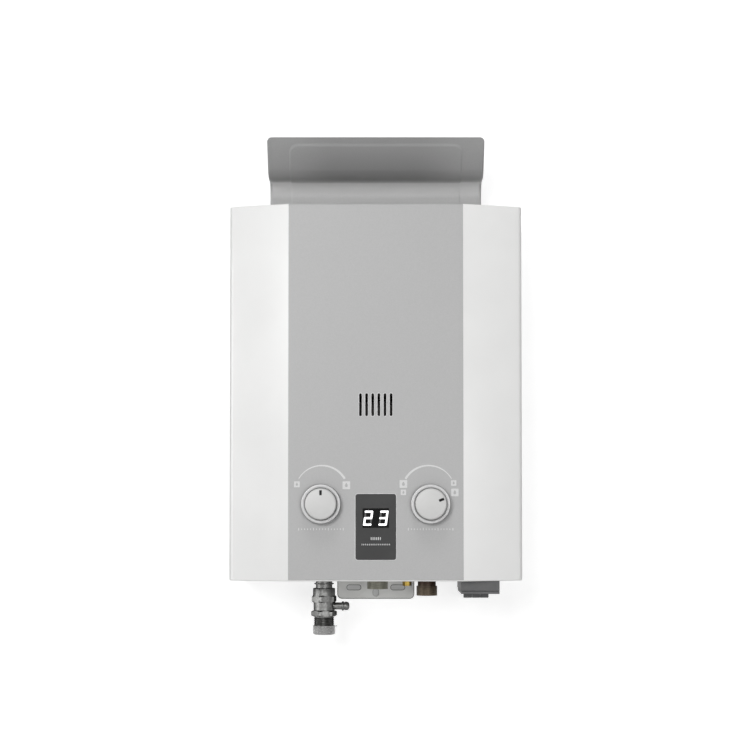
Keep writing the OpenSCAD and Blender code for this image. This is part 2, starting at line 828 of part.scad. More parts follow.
module flue_hood() {
    lip_z = body_h + hood_rise;
    side_z = lip_z - side_drop;
    half = hood_w / 2;
    inside = half - sheet;
    color("darkgray") difference() {
        union() {
            intersection() {
                drawn_x(-half, half, strip(hood_curve(lip_z), 0, sheet));
                drawn_y(0, body_d) translate([0, (body_h + lip_z) / 2 - lip_r])
                    round_square(hood_w, lip_z - body_h + 2 * lip_r, lip_r);
            }
            drawn_x(-field_w / 2, field_w / 2, strip(hood_curve(lip_z - field_drop), -field_t, sheet / 2));
            for (side = [-1, 1])
                drawn_x(side > 0 ? inside : -half, side > 0 ? half : -inside,
                        concat(hood_curve(side_z), [[-hood_back, side_z], [-hood_back, body_h]]));
            box(-half, half, -hood_back, -hood_back + sheet, body_h, side_z);
            box(-half - hood_flange, half + hood_flange, -foot_d - hood_flange, -hood_back + sheet, body_h,
                body_h + sheet);
        }
        box(-inside, inside, -foot_d + 2 * sheet, -hood_back, body_h - sheet, body_h + 2 * sheet);
        box(-half_w, half_w, -body_d, 0, body_h - 2 * sheet, body_h);
        for (x = hood_screw_x(), y = hood_screw_y())
            rod_z(body_h - sheet, body_h + 2 * sheet, screw_d + 2 * running, x, y);
    }
}

module flue_collector() {
    high = body_h - sheet - fit;
    half = hood_w / 2 - 2 * sheet;
    front_top = foot_d - 2 * sheet;
    back_top = hood_back + sheet;
    outline = [[-chamber_front, chamber_top], [-front_top, high], [-back_top, high],
               [-chamber_back, chamber_top]];
    hole = [[-chamber_front + 2 * sheet, chamber_top - sheet],
            [-chamber_front + 2 * sheet, chamber_top + sheet],
            [-front_top + sheet, high], [-front_top + sheet, high + sheet], [-back_top - sheet, high + sheet],
            [-back_top - sheet, high], [-chamber_back - 2 * sheet, chamber_top + sheet],
            [-chamber_back - 2 * sheet, chamber_top - sheet]];
    color("lightgray") difference() {
        drawn_x(-half, half, outline);
        intersection() {
            drawn_x(-half + sheet, half - sheet, hole);
            union() {
                box(-half, half, -body_d, 0, chamber_top + sheet, body_h);
                box(-chamber_w / 2 + 2 * sheet, chamber_w / 2 - 2 * sheet, -body_d, 0, chamber_top - sheet,
                    body_h);
            }
        }
    }
}

function tube_rows() = [for (i = [0:tube_n - 1]) first_tube_y + i * tube_pitch];

module combustion_chamber() {
    half = chamber_w / 2;
    color("sandybrown") difference() {
        box(-half, half, -chamber_front, -chamber_back, chamber_z, chamber_top);
        box(-half + sheet, half - sheet, -chamber_front + sheet, -chamber_back - sheet, chamber_z - sheet,
            chamber_top + sheet);
        for (y = tube_rows()) rod_x(-chamber_w, chamber_w, pipe_d + 2 * running, y, tube_z);
    }
}

module chamber_brackets() {
    half = bracket_w / 2;
    low = hang_h - bracket_drop;
    color("gainsboro") for (side = [-1, 1]) translate([side * hang_pitch / 2, 0, 0]) {
        box(-half, half, -chamber_back, -plate, low, low + plate);
        box(-half, half, -2 * plate, -plate, low, low + bracket_turn);
        box(-half, half, -chamber_back, -chamber_back + plate, low - bracket_turn, low + plate);
    }
}

module chamber_coil() {
    color("peru") pipe_run([
        [coil_x, service_y, cold_join_z],
        [coil_x, service_y, coil_low],
        [coil_x, -coil_front, coil_low],
        [-coil_x, -coil_front, coil_low],
        [-coil_x, -coil_back, coil_low],
        [coil_x, -coil_back, coil_low],
        [coil_x, -coil_back, coil_high],
        [coil_x, first_tube_y, coil_high],
        [coil_x, first_tube_y, tube_z],
        [chamber_w / 2, first_tube_y, tube_z]
    ], pipe_d, pipe_wall, bend_r);
}

module exchanger_fins() {
    half = chamber_w / 2 - sheet - fit;
    pitch = (2 * half - fin_t) / (fin_n - 1);
    high = chamber_top - fin_drop;
    color("peru") for (i = [0:fin_n - 1]) translate([-half + i * pitch, 0, 0]) difference() {
        box(0, fin_t, -chamber_front + sheet + fit, -chamber_back - sheet - fit, high - fin_h, high);
        for (y = tube_rows()) rod_x(-fin_t, 2 * fin_t, pipe_d + 2 * running, y, tube_z);
    }
}

module fin_tubes() {
    end = chamber_w / 2;
    color("chocolate") {
        for (y = tube_rows()) straight_pipe([-end, y, tube_z], [end, y, tube_z], pipe_d, pipe_wall);
        for (i = [0:tube_n - 2])
            translate([i % 2 == 0 ? -end : end, first_tube_y + (i + 0.5) * tube_pitch, tube_z])
            rotate([0, 0, i % 2 == 0 ? 90 : -90])
                rotate_extrude(angle = 180) translate([tube_pitch / 2, 0]) ring_outline(pipe_d, pipe_wall);
    }
}

module cold_pipe() {
    color("peru") pipe_run([
        [water_right + outlet_boss_l, service_y, outlet_z],
        [coil_x, service_y, outlet_z],
        [coil_x, service_y, cold_join_z]
    ], pipe_d, pipe_wall, bend_r);
}

module hot_pipe() {
    color("peru") pipe_run([
        [-chamber_w / 2, last_tube_y, tube_z],
        [hot_pipe_x, last_tube_y, tube_z],
        [hot_pipe_x, last_tube_y, hot_pipe_z],
        [hot_x, last_tube_y, hot_pipe_z],
        [hot_x, service_y, hot_pipe_z],
        [hot_x, service_y, hot_pipe_z - bend_r]
    ], pipe_d, pipe_wall, bend_r);
}

function burner_places() = [for (i = [0:burner_n - 1]) (i - (burner_n - 1) / 2) * burner_pitch];

module burner_frame() {
    front = -burner_front;
    color("lightgray") difference() {
        union() {
            for (side = [-1, 1]) translate([side * frame_x, 0, 0]) {
                box(-plate / 2, plate / 2, front - plate, -burner_back + plate, burner_z, burner_top);
                box(-plate / 2, plate / 2, -burner_back, -plate, frame_foot_z, frame_foot_z + frame_foot_h);
                box(-plate / 2, plate / 2 + frame_foot_w, -2 * plate, -plate, frame_foot_z,
                    frame_foot_z + frame_foot_h);
            }
            box(-frame_x, frame_x, front - plate, front, burner_z, burner_top);
            box(-frame_x, frame_x, -burner_back, -burner_back + plate, burner_z, burner_top);
        }
        for (x = burner_places())
            rod_y(front - 2 * plate, front + plate, venturi_d - 2 * venturi_wall, x, venturi_z);
    }
}

module burner_bar() {
    length = burner_front - burner_back;
    slit_pitch = length / (slit_n + 1);
    difference() {
        union() {
            box(-burner_t / 2, burner_t / 2, -burner_front, -burner_back, venturi_z, burner_top);
            rod_y(-burner_front, -burner_front + length / 2, venturi_d, 0, venturi_z);
        }
        rod_y(-burner_front - plate, -burner_front + length / 2 - 2 * venturi_wall,
              venturi_d - 2 * venturi_wall, 0, venturi_z);
        for (i = [1:slit_n]) translate([0, -burner_front + i * slit_pitch, burner_top])
            cube([burner_t - venturi_wall, slit_w, 2 * slit_depth], center = true);
    }
}

module burner_bars() {
    color("lightslategray") for (x = burner_places()) translate([x, 0, 0]) burner_bar();
}

module gas_manifold() {
    half = manifold_t / 2;
    end = burner_pitch * (burner_n - 1) / 2 + manifold_end;
    color("darkgray") difference() {
        box(-end, end, manifold_y - half, manifold_y + half, venturi_z - half, venturi_z + half);
        rod_x(-end + manifold_wall, end - manifold_wall, manifold_t - 2 * manifold_wall, manifold_y,
              venturi_z);
        rod_z(venturi_z - manifold_t, venturi_z, riser_d - 3 * riser_wall, riser_x, manifold_y);
        for (x = burner_places()) rod_y(manifold_y, manifold_y + manifold_t, screw_d, x, venturi_z);
    }
}

module injectors() {
    color("goldenrod") for (x = burner_places()) difference() {
        union() {
            rod_y(-manifold_back, -manifold_back + nozzle_l, nozzle_d, x, venturi_z);
            rod_y(-manifold_back - manifold_wall + fit, -burner_front - plate - fit, screw_d - 2 * running, x,
                  venturi_z);
        }
        rod_y(-manifold_back - nozzle_l, -burner_front, nozzle_bore, x, venturi_z);
    }
}

module gas_riser() {
    color("darkgray") pipe_run([
        [riser_x, -valve_front, outlet_z],
        [riser_x, manifold_y, outlet_z],
        [riser_x, manifold_y, venturi_z - manifold_t / 2]
    ], riser_d, riser_wall, bend_r);
}

module gas_valve_body() {
    color("lightgray") difference() {
        box(gas_left, gas_right, -valve_front, -valve_back, valve_low, valve_top);
        rod_z(valve_low - 1, knob_h - poppet_room_d / 2 + inlet_run, fitting_bore, gas_x, service_y);
        rod_x(gas_right - valve_end - poppet_room_l, gas_right - valve_end, poppet_room_d, service_y, knob_h);
        rod_x(gas_right - valve_end - 1, gas_right + 1, rod_d + 2 * running, service_y, knob_h);
        rod_x(gas_left - 1, gas_left + plunger_room_l, plunger_room_d, service_y, knob_h);
        rod_y(-valve_front - 1, -valve_front + spindle_seat, spindle_d + 2 * running, -knob_x, knob_h);
        rod_y(-valve_front - 1, -valve_front + spindle_seat, riser_d - 2 * riser_wall, riser_x, outlet_z);
    }
}

module gas_inlet_stub() {
    color("darkkhaki") difference() {
        union() {
            rod_z(-gas_drop, -gas_drop + gas_thread, thread_d, gas_x, service_y);
            rod_z(-gas_drop + gas_thread, valve_low, gas_neck, gas_x, service_y);
        }
        rod_z(-gas_drop - 1, valve_low + 1, fitting_bore, gas_x, service_y);
    }
}

module valve_bracket() {
    low = knob_h - saddle_h / 2;
    high = knob_h + saddle_h / 2;
    left = gas_left + saddle_in;
    right = gas_right - saddle_in;
    color("gainsboro") {
        box(left, right, -valve_back, -valve_back + plate, low, high);
        for (x = [left, right - plate]) box(x, x + plate, -valve_back, -plate, low, high);
        box(left - saddle_foot, left + plate, -2 * plate, -plate, low, high);
        box(right - plate, right + saddle_foot, -2 * plate, -plate, low, high);
    }
}

module solenoid_coil() {
    left = gas_left - solenoid_l;
    color("dimgray") difference() {
        rod_x(left, gas_left, solenoid_d, service_y, knob_h);
        rod_x(left + solenoid_end, gas_left + 1, plunger_d + 2 * running, service_y, knob_h);
    }
}

module solenoid_plunger() {
    tip = gas_left + plunger_travel + plunger_tip_t + fit;
    color("lightsteelblue") {
        rod_x(gas_left - solenoid_l + solenoid_end + plunger_travel + fit, tip, plunger_d, service_y, knob_h);
        rod_x(tip - plunger_tip_t, tip, plunger_tip_d, service_y, knob_h);
    }
}

function screw_places() =
    [for (i = [0:screw_n - 1]) let(a = i * 360 / screw_n)
     [service_y + screw_ring * cos(a), knob_h + screw_ring * sin(a)]];

module water_valve_body() {
    inlet_d = 26;
    seat_d = 30;
    arm_d = 14;
    arm_high = 22;
    passage_d = 8;
    shoulder = 2;
    chamber_floor = 2;
    color("peru") difference() {
        union() {
            rod_x(flange_x, block_x, housing_d, service_y, knob_h);
            box(block_x, water_right, -valve_front, -valve_back, valve_low, valve_top);
            rod_z(shelf_top + housing_t / 2, valve_low, inlet_d, cold_x, service_y);
            rod_z(shelf_top, shelf_top + housing_t / 2, seat_d, cold_x, service_y);
            rod_z(-cold_drop, -cold_drop + cold_thread, thread_d, cold_x, service_y);
            rod_z(-cold_drop + cold_thread, -shoulder, cold_neck, cold_x, service_y);
            rod_z(-shoulder, shelf_top, thread_d, cold_x, service_y);
            box(drain_x, cold_x, service_y - arm_d / 2, service_y + arm_d / 2, shelf_top, arm_high);
            rod_z(-drain_boss_low, arm_high, drain_boss_d, drain_x, service_y);
            rod_x(water_right, water_right + outlet_boss_l, outlet_boss_d, service_y, outlet_z);
        }
        rod_z(-cold_drop - 1, valve_low + 2 * passage_d, fitting_bore, cold_x, service_y);
        rod_x(flange_x - 1, flange_x + housing_t - chamber_floor, chamber_bore, service_y, knob_h);
        rod_x(flange_x, cold_x, passage_d, service_y, valve_low + passage_d);
        rod_y(-valve_front - 1, -valve_front + spindle_seat, spindle_d + 2 * running, knob_x, knob_h);
        rod_x(cold_x + spindle_d, water_right + outlet_boss_l + 1, pipe_d - 2 * pipe_wall, service_y,
              outlet_z);
        rod_z(-drain_boss_low - 1, drain_plug_l + fit, drain_plug_d + 2 * running, drain_x, service_y);
        for (p = screw_places()) rod_x(flange_x - 1, block_x + 1, screw_d + 2 * running, p[0], p[1]);
    }
}

module diaphragm() {
    edge_in = 1;
    color("darkslategray") difference() {
        rod_x(diaphragm_x, flange_x, housing_d - 2 * edge_in, service_y, knob_h);
        for (p = screw_places()) rod_x(diaphragm_x - 1, flange_x + 1, screw_d + 2 * running, p[0], p[1]);
    }
}

module diaphragm_cover() {
    post_d = 8;
    post_out = 16;
    post_drop = 14;
    color("peru") difference() {
        union() {
            rod_x(cover_x, diaphragm_x, housing_d, service_y, knob_h);
            for (side = [-1, 1])
                rod_x(gas_right, cover_x + 1, post_d, service_y + side * post_out, knob_h - post_drop);
        }
        rod_x(diaphragm_x - cover_bore_d, diaphragm_x + 1, chamber_bore, service_y, knob_h);
        rod_x(cover_x - 1, diaphragm_x, rod_d + 2 * running, service_y, knob_h);
        for (p = screw_places()) rod_x(cover_x - 1, diaphragm_x + 1, screw_d + 2 * running, p[0], p[1]);
    }
}

module diaphragm_screws() {
    color("lightsteelblue") for (p = screw_places()) {
        rod_x(cover_x - head_t, cover_x, head_d, p[0], p[1]);
        rod_x(cover_x, block_x, screw_d, p[0], p[1]);
    }
}

module push_rod() {
    color("goldenrod") {
        rod_x(diaphragm_x - plate_t, diaphragm_x, plate_d, service_y, knob_h);
        rod_x(poppet_x, diaphragm_x, rod_d, service_y, knob_h);
        rod_x(rod_collar_x, rod_collar_x + rod_collar_t, rod_collar_d, service_y, knob_h);
        rod_x(poppet_x - poppet_t, poppet_x, poppet_d, service_y, knob_h);
    }
}

module drain_plug() {
    low = -drain_boss_low - drain_head_t;
    color("goldenrod") {
        hex_z(low, -drain_boss_low, drain_head_af, drain_x, service_y);
        rod_z(-drain_boss_low, drain_plug_l, drain_plug_d, drain_x, service_y);
    }
}

// The switch hangs above the rod's collar, on the gas valve's end
switch_low = knob_h + rod_collar_d / 2 + 2;
button_x = gas_right + switch_w - 1;
button_d = 2.4;
button_in = 2;

module micro_switch() {
    color("black") difference() {
        box(gas_right, gas_right + switch_w + 1, service_y - switch_l / 2, service_y + switch_l / 2,
            switch_low, switch_low + switch_h);
        rod_z(switch_low - 1, switch_low + button_in + button_travel + fit, button_d + 2 * running, button_x,
              service_y);
    }
}

module switch_button() {
    color("crimson")
        rod_z(switch_low - button_travel - fit, switch_low + button_in, button_d, button_x, service_y);
}

module outlet_stub() {
    socket_d = 20;
    seat_d = 26;
    seat_t = 3;
    color("darkgray") difference() {
        union() {
            rod_z(shelf_top, hot_pipe_z - bend_r, socket_d, hot_x, service_y);
            rod_z(shelf_top, shelf_top + seat_t, seat_d, hot_x, service_y);
            rod_z(-stub_end, shelf_top, stub_d, hot_x, service_y);
            rod_z(-stub_end - stub_end_t, -stub_end, collar_d, hot_x, service_y);
            rod_z(-collar_drop - collar_t, -collar_drop, collar_d, hot_x, service_y);
        }
        rod_z(-stub_end - stub_end_t - 1, hot_pipe_z, pipe_d - 2 * pipe_wall, hot_x, service_y);
    }
}

module union_nut() {
    color("darkgray") difference() {
        union() {
            rod_z(-nut_low + nut_hex, -nut_drop, nut_d, hot_x, service_y);
            hex_z(-nut_low, -nut_low + nut_hex, hex_af, hot_x, service_y, nut_turn);
        }
        rod_z(-nut_low - 1, -nut_drop + 1, stub_d + 2 * fit, hot_x, service_y);
        rod_z(-nut_low - 1, -nut_drop - nut_lip, nut_bore, hot_x, service_y);
    }
}

module purge_tee() {
    color("darkgray") difference() {
        union() {
            rod_z(-nut_low, -stub_end - stub_end_t - fit, collar_d, hot_x, service_y);
            rod_z(-tee_low, -nut_low, tee_d, hot_x, service_y);
            hex_z(-tee_hex_low, -tee_low, hex_af, hot_x, service_y, tee_turn);
            rod_z(-tee_end, -tee_hex_low, thread_d, hot_x, service_y);
            rod_x(hot_x, hot_x + spout_l, spout_d, service_y, spout_z);
        }
        rod_z(-tee_end - 1, 0, fitting_bore, hot_x, service_y);
        rod_x(hot_x, hot_x + spout_l + 1, spout_d / 2 + 2 * running, service_y, spout_z);
    }
}

module purge_screw() {
    start = hot_x + spout_l;
    end = hot_x + purge_end;
    nose = purge_d / 4;
    nose_d = 5;
    thread_l = 8;
    color("dimgray") {
        rod_x(start - thread_l, end - nose, spout_d / 2, service_y, spout_z);
        rod_x(start, start + purge_ring, purge_ring_d, service_y, spout_z);
        rod_x(start + purge_ring, end - nose, purge_d, service_y, spout_z);
        translate([end - nose, service_y, spout_z]) rotate([0, 90, 0])
            cylinder(h = nose, d1 = purge_d, d2 = nose_d);
    }
}

module thread_cap() {
    tear_w = 4;
    tear_t = 1.2;
    color("whitesmoke") difference() {
        union() {
            rod_z(-cap_end, -cap_top, 2 * cap_out_r, hot_x, service_y);
            box(hot_x + cap_out_r - fit, hot_x + cap_out_r + tear_l, service_y - tear_w / 2,
                service_y + tear_w / 2, -cap_top - tear_t, -cap_top);
        }
        rod_z(-tee_end - fit, -cap_top + 1, 2 * cap_in_r, hot_x, service_y);
    }
}

module control_box() {
    w = control_wall;
    color("dimgray") difference() {
        box(control_left, control_right, -control_front, -control_back, shelf_top, control_top);
        box(control_left + w, control_right - w, -control_front - w, -control_back - w, shelf_top + w,
            control_top - w);
    }
}

module control_box_lid() {
    color("slategray")
        box(control_left, control_right, -control_front - control_wall, -control_front, shelf_top,
            control_top);
}

module control_board() {
    w = control_wall;
    rear = -control_back - w - pillar_l;
    color("seagreen") {
        box(control_left + w + fit, control_right - w - fit, rear - board_t, rear, shelf_top + w,
            control_top - w - fit);
        for (z = [shelf_top + pillar_up, control_top - pillar_up],
             x = [control_left + pillar_in, control_right - pillar_in])
            rod_y(rear, -control_back - w, screw_d, x, z);
        box(control_left + pillar_in, control_left + pillar_in + relay_w, rear - board_t - relay_t,
            rear - board_t, shelf_top + relay_h + pillar_up, shelf_top + 2 * relay_h + pillar_up);
    }
}

electrode_x = 1.5 * burner_pitch;
electrode_d = 2;
insulator_d = 6;
insulator_out = 3.6;
electrode_y = -burner_front - plate - insulator_out;
electrode_bend = 3;
electrode_l = 22;
insulator_up = 26;
insulator_drop = 8;
insulator_low = burner_z + insulator_up;
insulator_high = burner_top - insulator_drop;
clip_w = 16;
clip_h = 12;
clip_up = 4;
eyelet_w = 10;

module electrode_insulators() {
    color("white") for (side = [-1, 1]) difference() {
        rod_z(insulator_low, insulator_high, insulator_d, side * electrode_x, electrode_y);
        rod_z(insulator_low - 1, insulator_high + 1, electrode_d + 2 * running, side * electrode_x,
              electrode_y);
    }
}

module electrode_rods() {
    bend = electrode_bend;
    rise = burner_top + bend;
    color("slategray") for (side = [-1, 1]) {
        x = side * electrode_x;
        rod_z(insulator_low - bend, rise - bend, electrode_d, x, electrode_y);
        pipe_elbow([x, electrode_y, rise], [0, 0, 1], [0, 1, 0], bend, electrode_d, electrode_d / 2);
        rod_y(electrode_y + bend, electrode_y + electrode_l, electrode_d, x, rise);
    }
}

module electrode_brackets() {
    front = -burner_front - plate;
    color("gainsboro") for (side = [-1, 1]) translate([side * electrode_x, 0, 0]) difference() {
        union() {
            box(-clip_w / 2, clip_w / 2, front - plate, front, insulator_low + clip_up,
                insulator_low + clip_up + clip_h);
            box(-eyelet_w / 2, eyelet_w / 2, electrode_y - eyelet_w / 2, front, insulator_low + 2 * clip_up,
                insulator_low + 2 * clip_up + plate);
        }
        rod_z(insulator_low, insulator_high, insulator_d + 2 * running, 0, electrode_y);
    }
}

module overheat_switch() {
    color("black") rod_x(-chamber_w / 2 - cut_off_t, -chamber_w / 2, cut_off_d, chamber_y, coil_high);
}

module temperature_sensor() {
    color("goldenrod") difference() {
        union() {
            rod_z(sensor_z - sensor_l / 2, sensor_z + sensor_l / 2, pipe_d + 2 * sensor_wall, hot_pipe_x,
                  last_tube_y);
            rod_y(last_tube_y - tube_r - sensor_l, last_tube_y - tube_r, sensor_d, hot_pipe_x, sensor_z);
        }
        rod_z(sensor_z - sensor_l, sensor_z + sensor_l, pipe_d + 2 * running, hot_pipe_x, last_tube_y);
    }
}

// Routes of the leads, between the box's top, the electrodes, the sensor, the solenoid and the display
lead_d = 2.4;
lead_turn = 6;
lead_shift = 8;
lead_y = -(control_back + control_front) / 2;
spark_in = 9;
sensor_in = 19;
flame_in = 31;
spark_drop = 10;
flame_drop = 3;
spark_x = control_left + spark_in;
sensor_x = control_left + sensor_in;
flame_x = control_left + flame_in;
spark_z = burner_z - spark_drop;
flame_z = burner_z - flame_drop;
display_lead_z = 40;
display_lead_x = -12;
spark_route = [
    [spark_x, lead_y, control_top],
    [spark_x, lead_y, control_top + lead_turn],
    [spark_x + lead_turn, electrode_y, spark_z],
    [electrode_x - lead_turn, electrode_y, spark_z],
    [electrode_x, electrode_y, spark_z + lead_turn],
    [electrode_x, electrode_y, insulator_low - electrode_bend]
];
flame_route = [
    [flame_x, lead_y, control_top],
    [flame_x, lead_y, flame_z - lead_turn],
    [flame_x + lead_turn, electrode_y, flame_z],
    [-electrode_x - lead_turn, electrode_y, flame_z],
    [-electrode_x, electrode_y, flame_z + lead_turn],
    [-electrode_x, electrode_y, insulator_low - electrode_bend]
];
sensor_route = [
    [sensor_x, lead_y + lead_shift, control_top],
    [sensor_x, lead_y + lead_shift, sensor_z - lead_turn],
    [sensor_x, lead_y + 2 * lead_shift, sensor_z],
    [hot_pipe_x, last_tube_y - tube_r - sensor_l, sensor_z]
];
display_route = [
    [control_right, lead_y - lead_shift / 2, display_lead_z],
    [control_right + lead_turn, lead_y - lead_shift / 2, display_lead_z],
    [2 * display_lead_x, lead_y - lead_shift / 2, display_lead_z],
    [display_lead_x, lead_y - lead_shift, display_lead_z],
    [display_lead_x, -body_d + board_d + board_t, display_lead_z]
];

module wiring_leads() {
    color("firebrick") for (route = [spark_route, flame_route, sensor_route, display_route])
        lead(route, lead_d);
}

module display_bezel() {
    front = body_d + display_out;
    lap = 1.4;
    post_d = 4;
    corner = 2;
    rim = inner_front - lap;
    post_end = body_d - board_d;
    color("dimgray") difference() {
        union() {
            drawn_y(-inner_front, front - inner_front) translate([0, display_z])
                round_square(display_w, display_h, corner);
            drawn_y(-rim, inner_front - rim) translate([0, display_z])
                square([display_w + 2 * (fit + display_rim), display_h + 2 * (fit + display_rim)],
                       center = true);
            for (x = [-1, 1], z = [-1, 1])
                rod_y(-rim, -post_end, post_d, x * (display_w / 2 - post_d),
                      display_z + z * (display_h / 2 - post_d));
        }
        drawn_y(-rim + 1, front - rim + 2) translate([0, window_z])
            square([window_w, window_h], center = true);
    }
}

module display_module() {
    face = body_d + display_out - module_drop;
    rear = body_d - board_d;
    color("black") drawn_y(-rear, face - rear) translate([0, window_z])
        square([window_w - 2 * fit, window_h - 2 * fit], center = true);
}

// One segment in a digit's own plane, drawn along its length with pointed ends
module segment(from, to) {
    gap = 0.15;
    u = unit(to - from);
    v = [-u[1], u[0]] * segment_w / 2;
    a = from + u * gap;
    b = to - u * gap;
    tip = u * segment_w / 2;
    corners = [a, a + tip + v, b - tip + v, b, b - tip - v, a + tip - v];
    polygon([for (p = corners) [p[0] + p[1] * tan(digit_slant), p[1]]]);
}

// Lit segments, counted from the top clockwise, the middle one last
module digit(lit) {
    x = (digit_w - segment_w) / 2;
    z = (digit_h - segment_w) / 2;
    ends = [[[-x, z], [x, z]], [[x, z], [x, 0]], [[x, 0], [x, -z]], [[-x, -z], [x, -z]],
            [[-x, 0], [-x, -z]], [[-x, z], [-x, 0]], [[-x, 0], [x, 0]]];
    for (i = lit) segment(ends[i][0], ends[i][1]);
}

module display_digits() {
    two = [0, 1, 6, 4, 3];
    three = [0, 1, 6, 2, 3];
    color("white") drawn_y(-body_d - display_out + module_drop, segment_t) translate([0, window_z]) {
        translate([-digit_pitch / 2, 0]) digit(two);
        translate([digit_pitch / 2, 0]) digit(three);
    }
}

module display_board() {
    board_in = 1;
    rear = body_d - board_d;
    color("seagreen") drawn_y(-rear + board_t, board_t) translate([0, display_z])
        square([display_w - 2 * board_in, display_h - 2 * board_in], center = true);
}

// Turns a shape drawn with its axis along Z so that it stands out of the facia
module on_facia(x, turn = 0) {
    translate([x, -body_d, knob_h]) rotate([90, turn, 0]) children();
}

module knob_ring() {
    outer = ring_d / 2;
    inner = outer - rim_w;
    bore = spindle_d / 2 + running;
    edge = 0.8;
    rotate_extrude() polygon([[bore, knob_gap], [outer, knob_gap], [outer, rim_h - edge],
                              [outer - edge, rim_h], [inner + edge, rim_h], [inner, rim_h - edge],
                              [inner, knob_floor], [bore, knob_floor]]);
}

module knob_cap() {
    r = cap_d / 2;
    bore = spindle_d / 2 + running;
    edge = arc(r - cap_r, cap_h - cap_r, cap_r, 0, 90, 5);
    difference() {
        rotate_extrude() polygon(concat([[bore, knob_floor], [r, knob_floor]], edge,
                                        [[0, cap_h], [0, spindle_end], [bore, spindle_end]]));
        translate([-pointer_w / 2, pointer_in, cap_h - pointer_t])
            cube([pointer_w, pointer_out - pointer_in, pointer_t + 1]);
    }
}

module spindle(x) {
    rod_y(-body_d - spindle_end, -valve_front + spindle_seat - fit, spindle_d, x, knob_h);
}

module gas_knob_ring() {
    color("silver") on_facia(-knob_x) knob_ring();
}

module gas_knob_cap() {
    color("gainsboro") on_facia(-knob_x) knob_cap();
}

module gas_spindle() {
    color("goldenrod") spindle(-knob_x);
}

module water_knob_ring() {
    color("silver") on_facia(knob_x) knob_ring();
}

module water_knob_cap() {
    color("gainsboro") on_facia(knob_x, water_turn) knob_cap();
}

module water_spindle() {
    color("goldenrod") spindle(knob_x);
}

module battery_box() {
    half = box_w / 2;
    rim = 5;
    color("dimgray") translate([box_x, 0, 0]) {
        difference() {
            union() {
                box(-half, half, -box_front, -box_back, box_low, box_top);
                box(-half - rim, half + rim, -shelf_d, -box_back + rim, shelf_top, shelf_top + box_wall);
            }
            box(-half + box_wall, half - box_wall, -box_front + box_wall, -box_back - box_wall,
                box_low - 1, box_top - box_wall);
        }
        difference() {
            union() {
                rod_x(-knuckle_l / 2 + fit, knuckle_l / 2 - fit, barrel_d, hinge_y, hinge_z);
                box(-knuckle_l / 2 + fit, knuckle_l / 2 - fit, hinge_y, -box_back, hinge_z, box_low);
            }
            rod_x(-barrel_l, barrel_l, pin_d + 2 * running, hinge_y, hinge_z);
            box(-half, half, -box_front, hinge_y + barrel_r - hinge_web, box_low - fit, box_low);
        }
    }
}

module battery_lid() {
    half = box_w / 2;
    rear = hinge_y - barrel_r - fit;
    color("gray") translate([box_x, 0, 0]) difference() {
        union() {
            box(-half, half, -box_front, rear, -lid_drop, -lid_drop + lid_t);
            for (side = [-1, 1]) {
                x0 = side > 0 ? knuckle_l / 2 : -barrel_l / 2;
                x1 = side > 0 ? barrel_l / 2 : -knuckle_l / 2;
                rod_x(x0, x1, barrel_d, hinge_y, hinge_z);
                box(x0, x1, rear, hinge_y, -lid_drop - barrel_r, -lid_drop + lid_t);
            }
        }
        rod_x(-barrel_l, barrel_l, pin_d + 2 * running, hinge_y, hinge_z);
    }
}

module hinge_pin() {
    color("lightsteelblue") rod_x(box_x - barrel_l / 2, box_x + barrel_l / 2, pin_d, hinge_y, hinge_z);
}

module battery_cells() {
    nub_d = 9;
    nub_h = 1.5;
    places = [-box_front + box_wall + cell_room + cell_d / 2, -box_back - box_wall - cell_room - cell_d / 2];
    color("darkorange") for (y = places) {
        rod_z(box_low, box_low + cell_h - nub_h, cell_d, box_x, y);
        rod_z(box_low + cell_h - nub_h, box_low + cell_h, nub_d, box_x, y);
    }
}

back_plate();
service_shelf();
front_cover();
facia();
casing_screws();
flue_hood();
flue_collector();
combustion_chamber();
chamber_brackets();
chamber_coil();
exchanger_fins();
fin_tubes();
cold_pipe();
hot_pipe();
burner_frame();
burner_bars();
gas_manifold();
injectors();
gas_riser();
gas_valve_body();
gas_inlet_stub();
valve_bracket();
solenoid_coil();
solenoid_plunger();
water_valve_body();
diaphragm();
diaphragm_cover();
diaphragm_screws();
push_rod();
drain_plug();
micro_switch();
switch_button();
outlet_stub();
union_nut();
purge_tee();
purge_screw();
thread_cap();
control_box();
control_box_lid();
control_board();
electrode_insulators();
electrode_rods();
electrode_brackets();
overheat_switch();
temperature_sensor();
wiring_leads();
display_bezel();
display_module();
display_digits();
display_board();
gas_knob_ring();
gas_knob_cap();
gas_spindle();
water_knob_ring();
water_knob_cap();
water_spindle();
battery_box();
battery_lid();
battery_cells();
hinge_pin();
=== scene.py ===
import math

import bmesh
import bpy
from mathutils import Matrix, Vector
from mathutils.geometry import tessellate_polygon


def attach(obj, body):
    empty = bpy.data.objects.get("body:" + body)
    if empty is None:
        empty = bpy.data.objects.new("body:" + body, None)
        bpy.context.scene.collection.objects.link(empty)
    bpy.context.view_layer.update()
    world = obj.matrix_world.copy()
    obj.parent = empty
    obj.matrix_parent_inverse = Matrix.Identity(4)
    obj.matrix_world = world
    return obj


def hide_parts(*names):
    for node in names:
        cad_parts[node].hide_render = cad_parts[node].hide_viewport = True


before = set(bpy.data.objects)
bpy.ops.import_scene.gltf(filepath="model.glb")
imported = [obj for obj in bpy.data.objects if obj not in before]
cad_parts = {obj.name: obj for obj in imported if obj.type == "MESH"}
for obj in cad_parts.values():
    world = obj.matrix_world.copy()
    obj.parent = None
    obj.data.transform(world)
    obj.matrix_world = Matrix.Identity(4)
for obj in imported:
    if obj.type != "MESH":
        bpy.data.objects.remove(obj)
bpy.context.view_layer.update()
mm = 0.001
print("frame loaded:", len(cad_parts), "nodes")


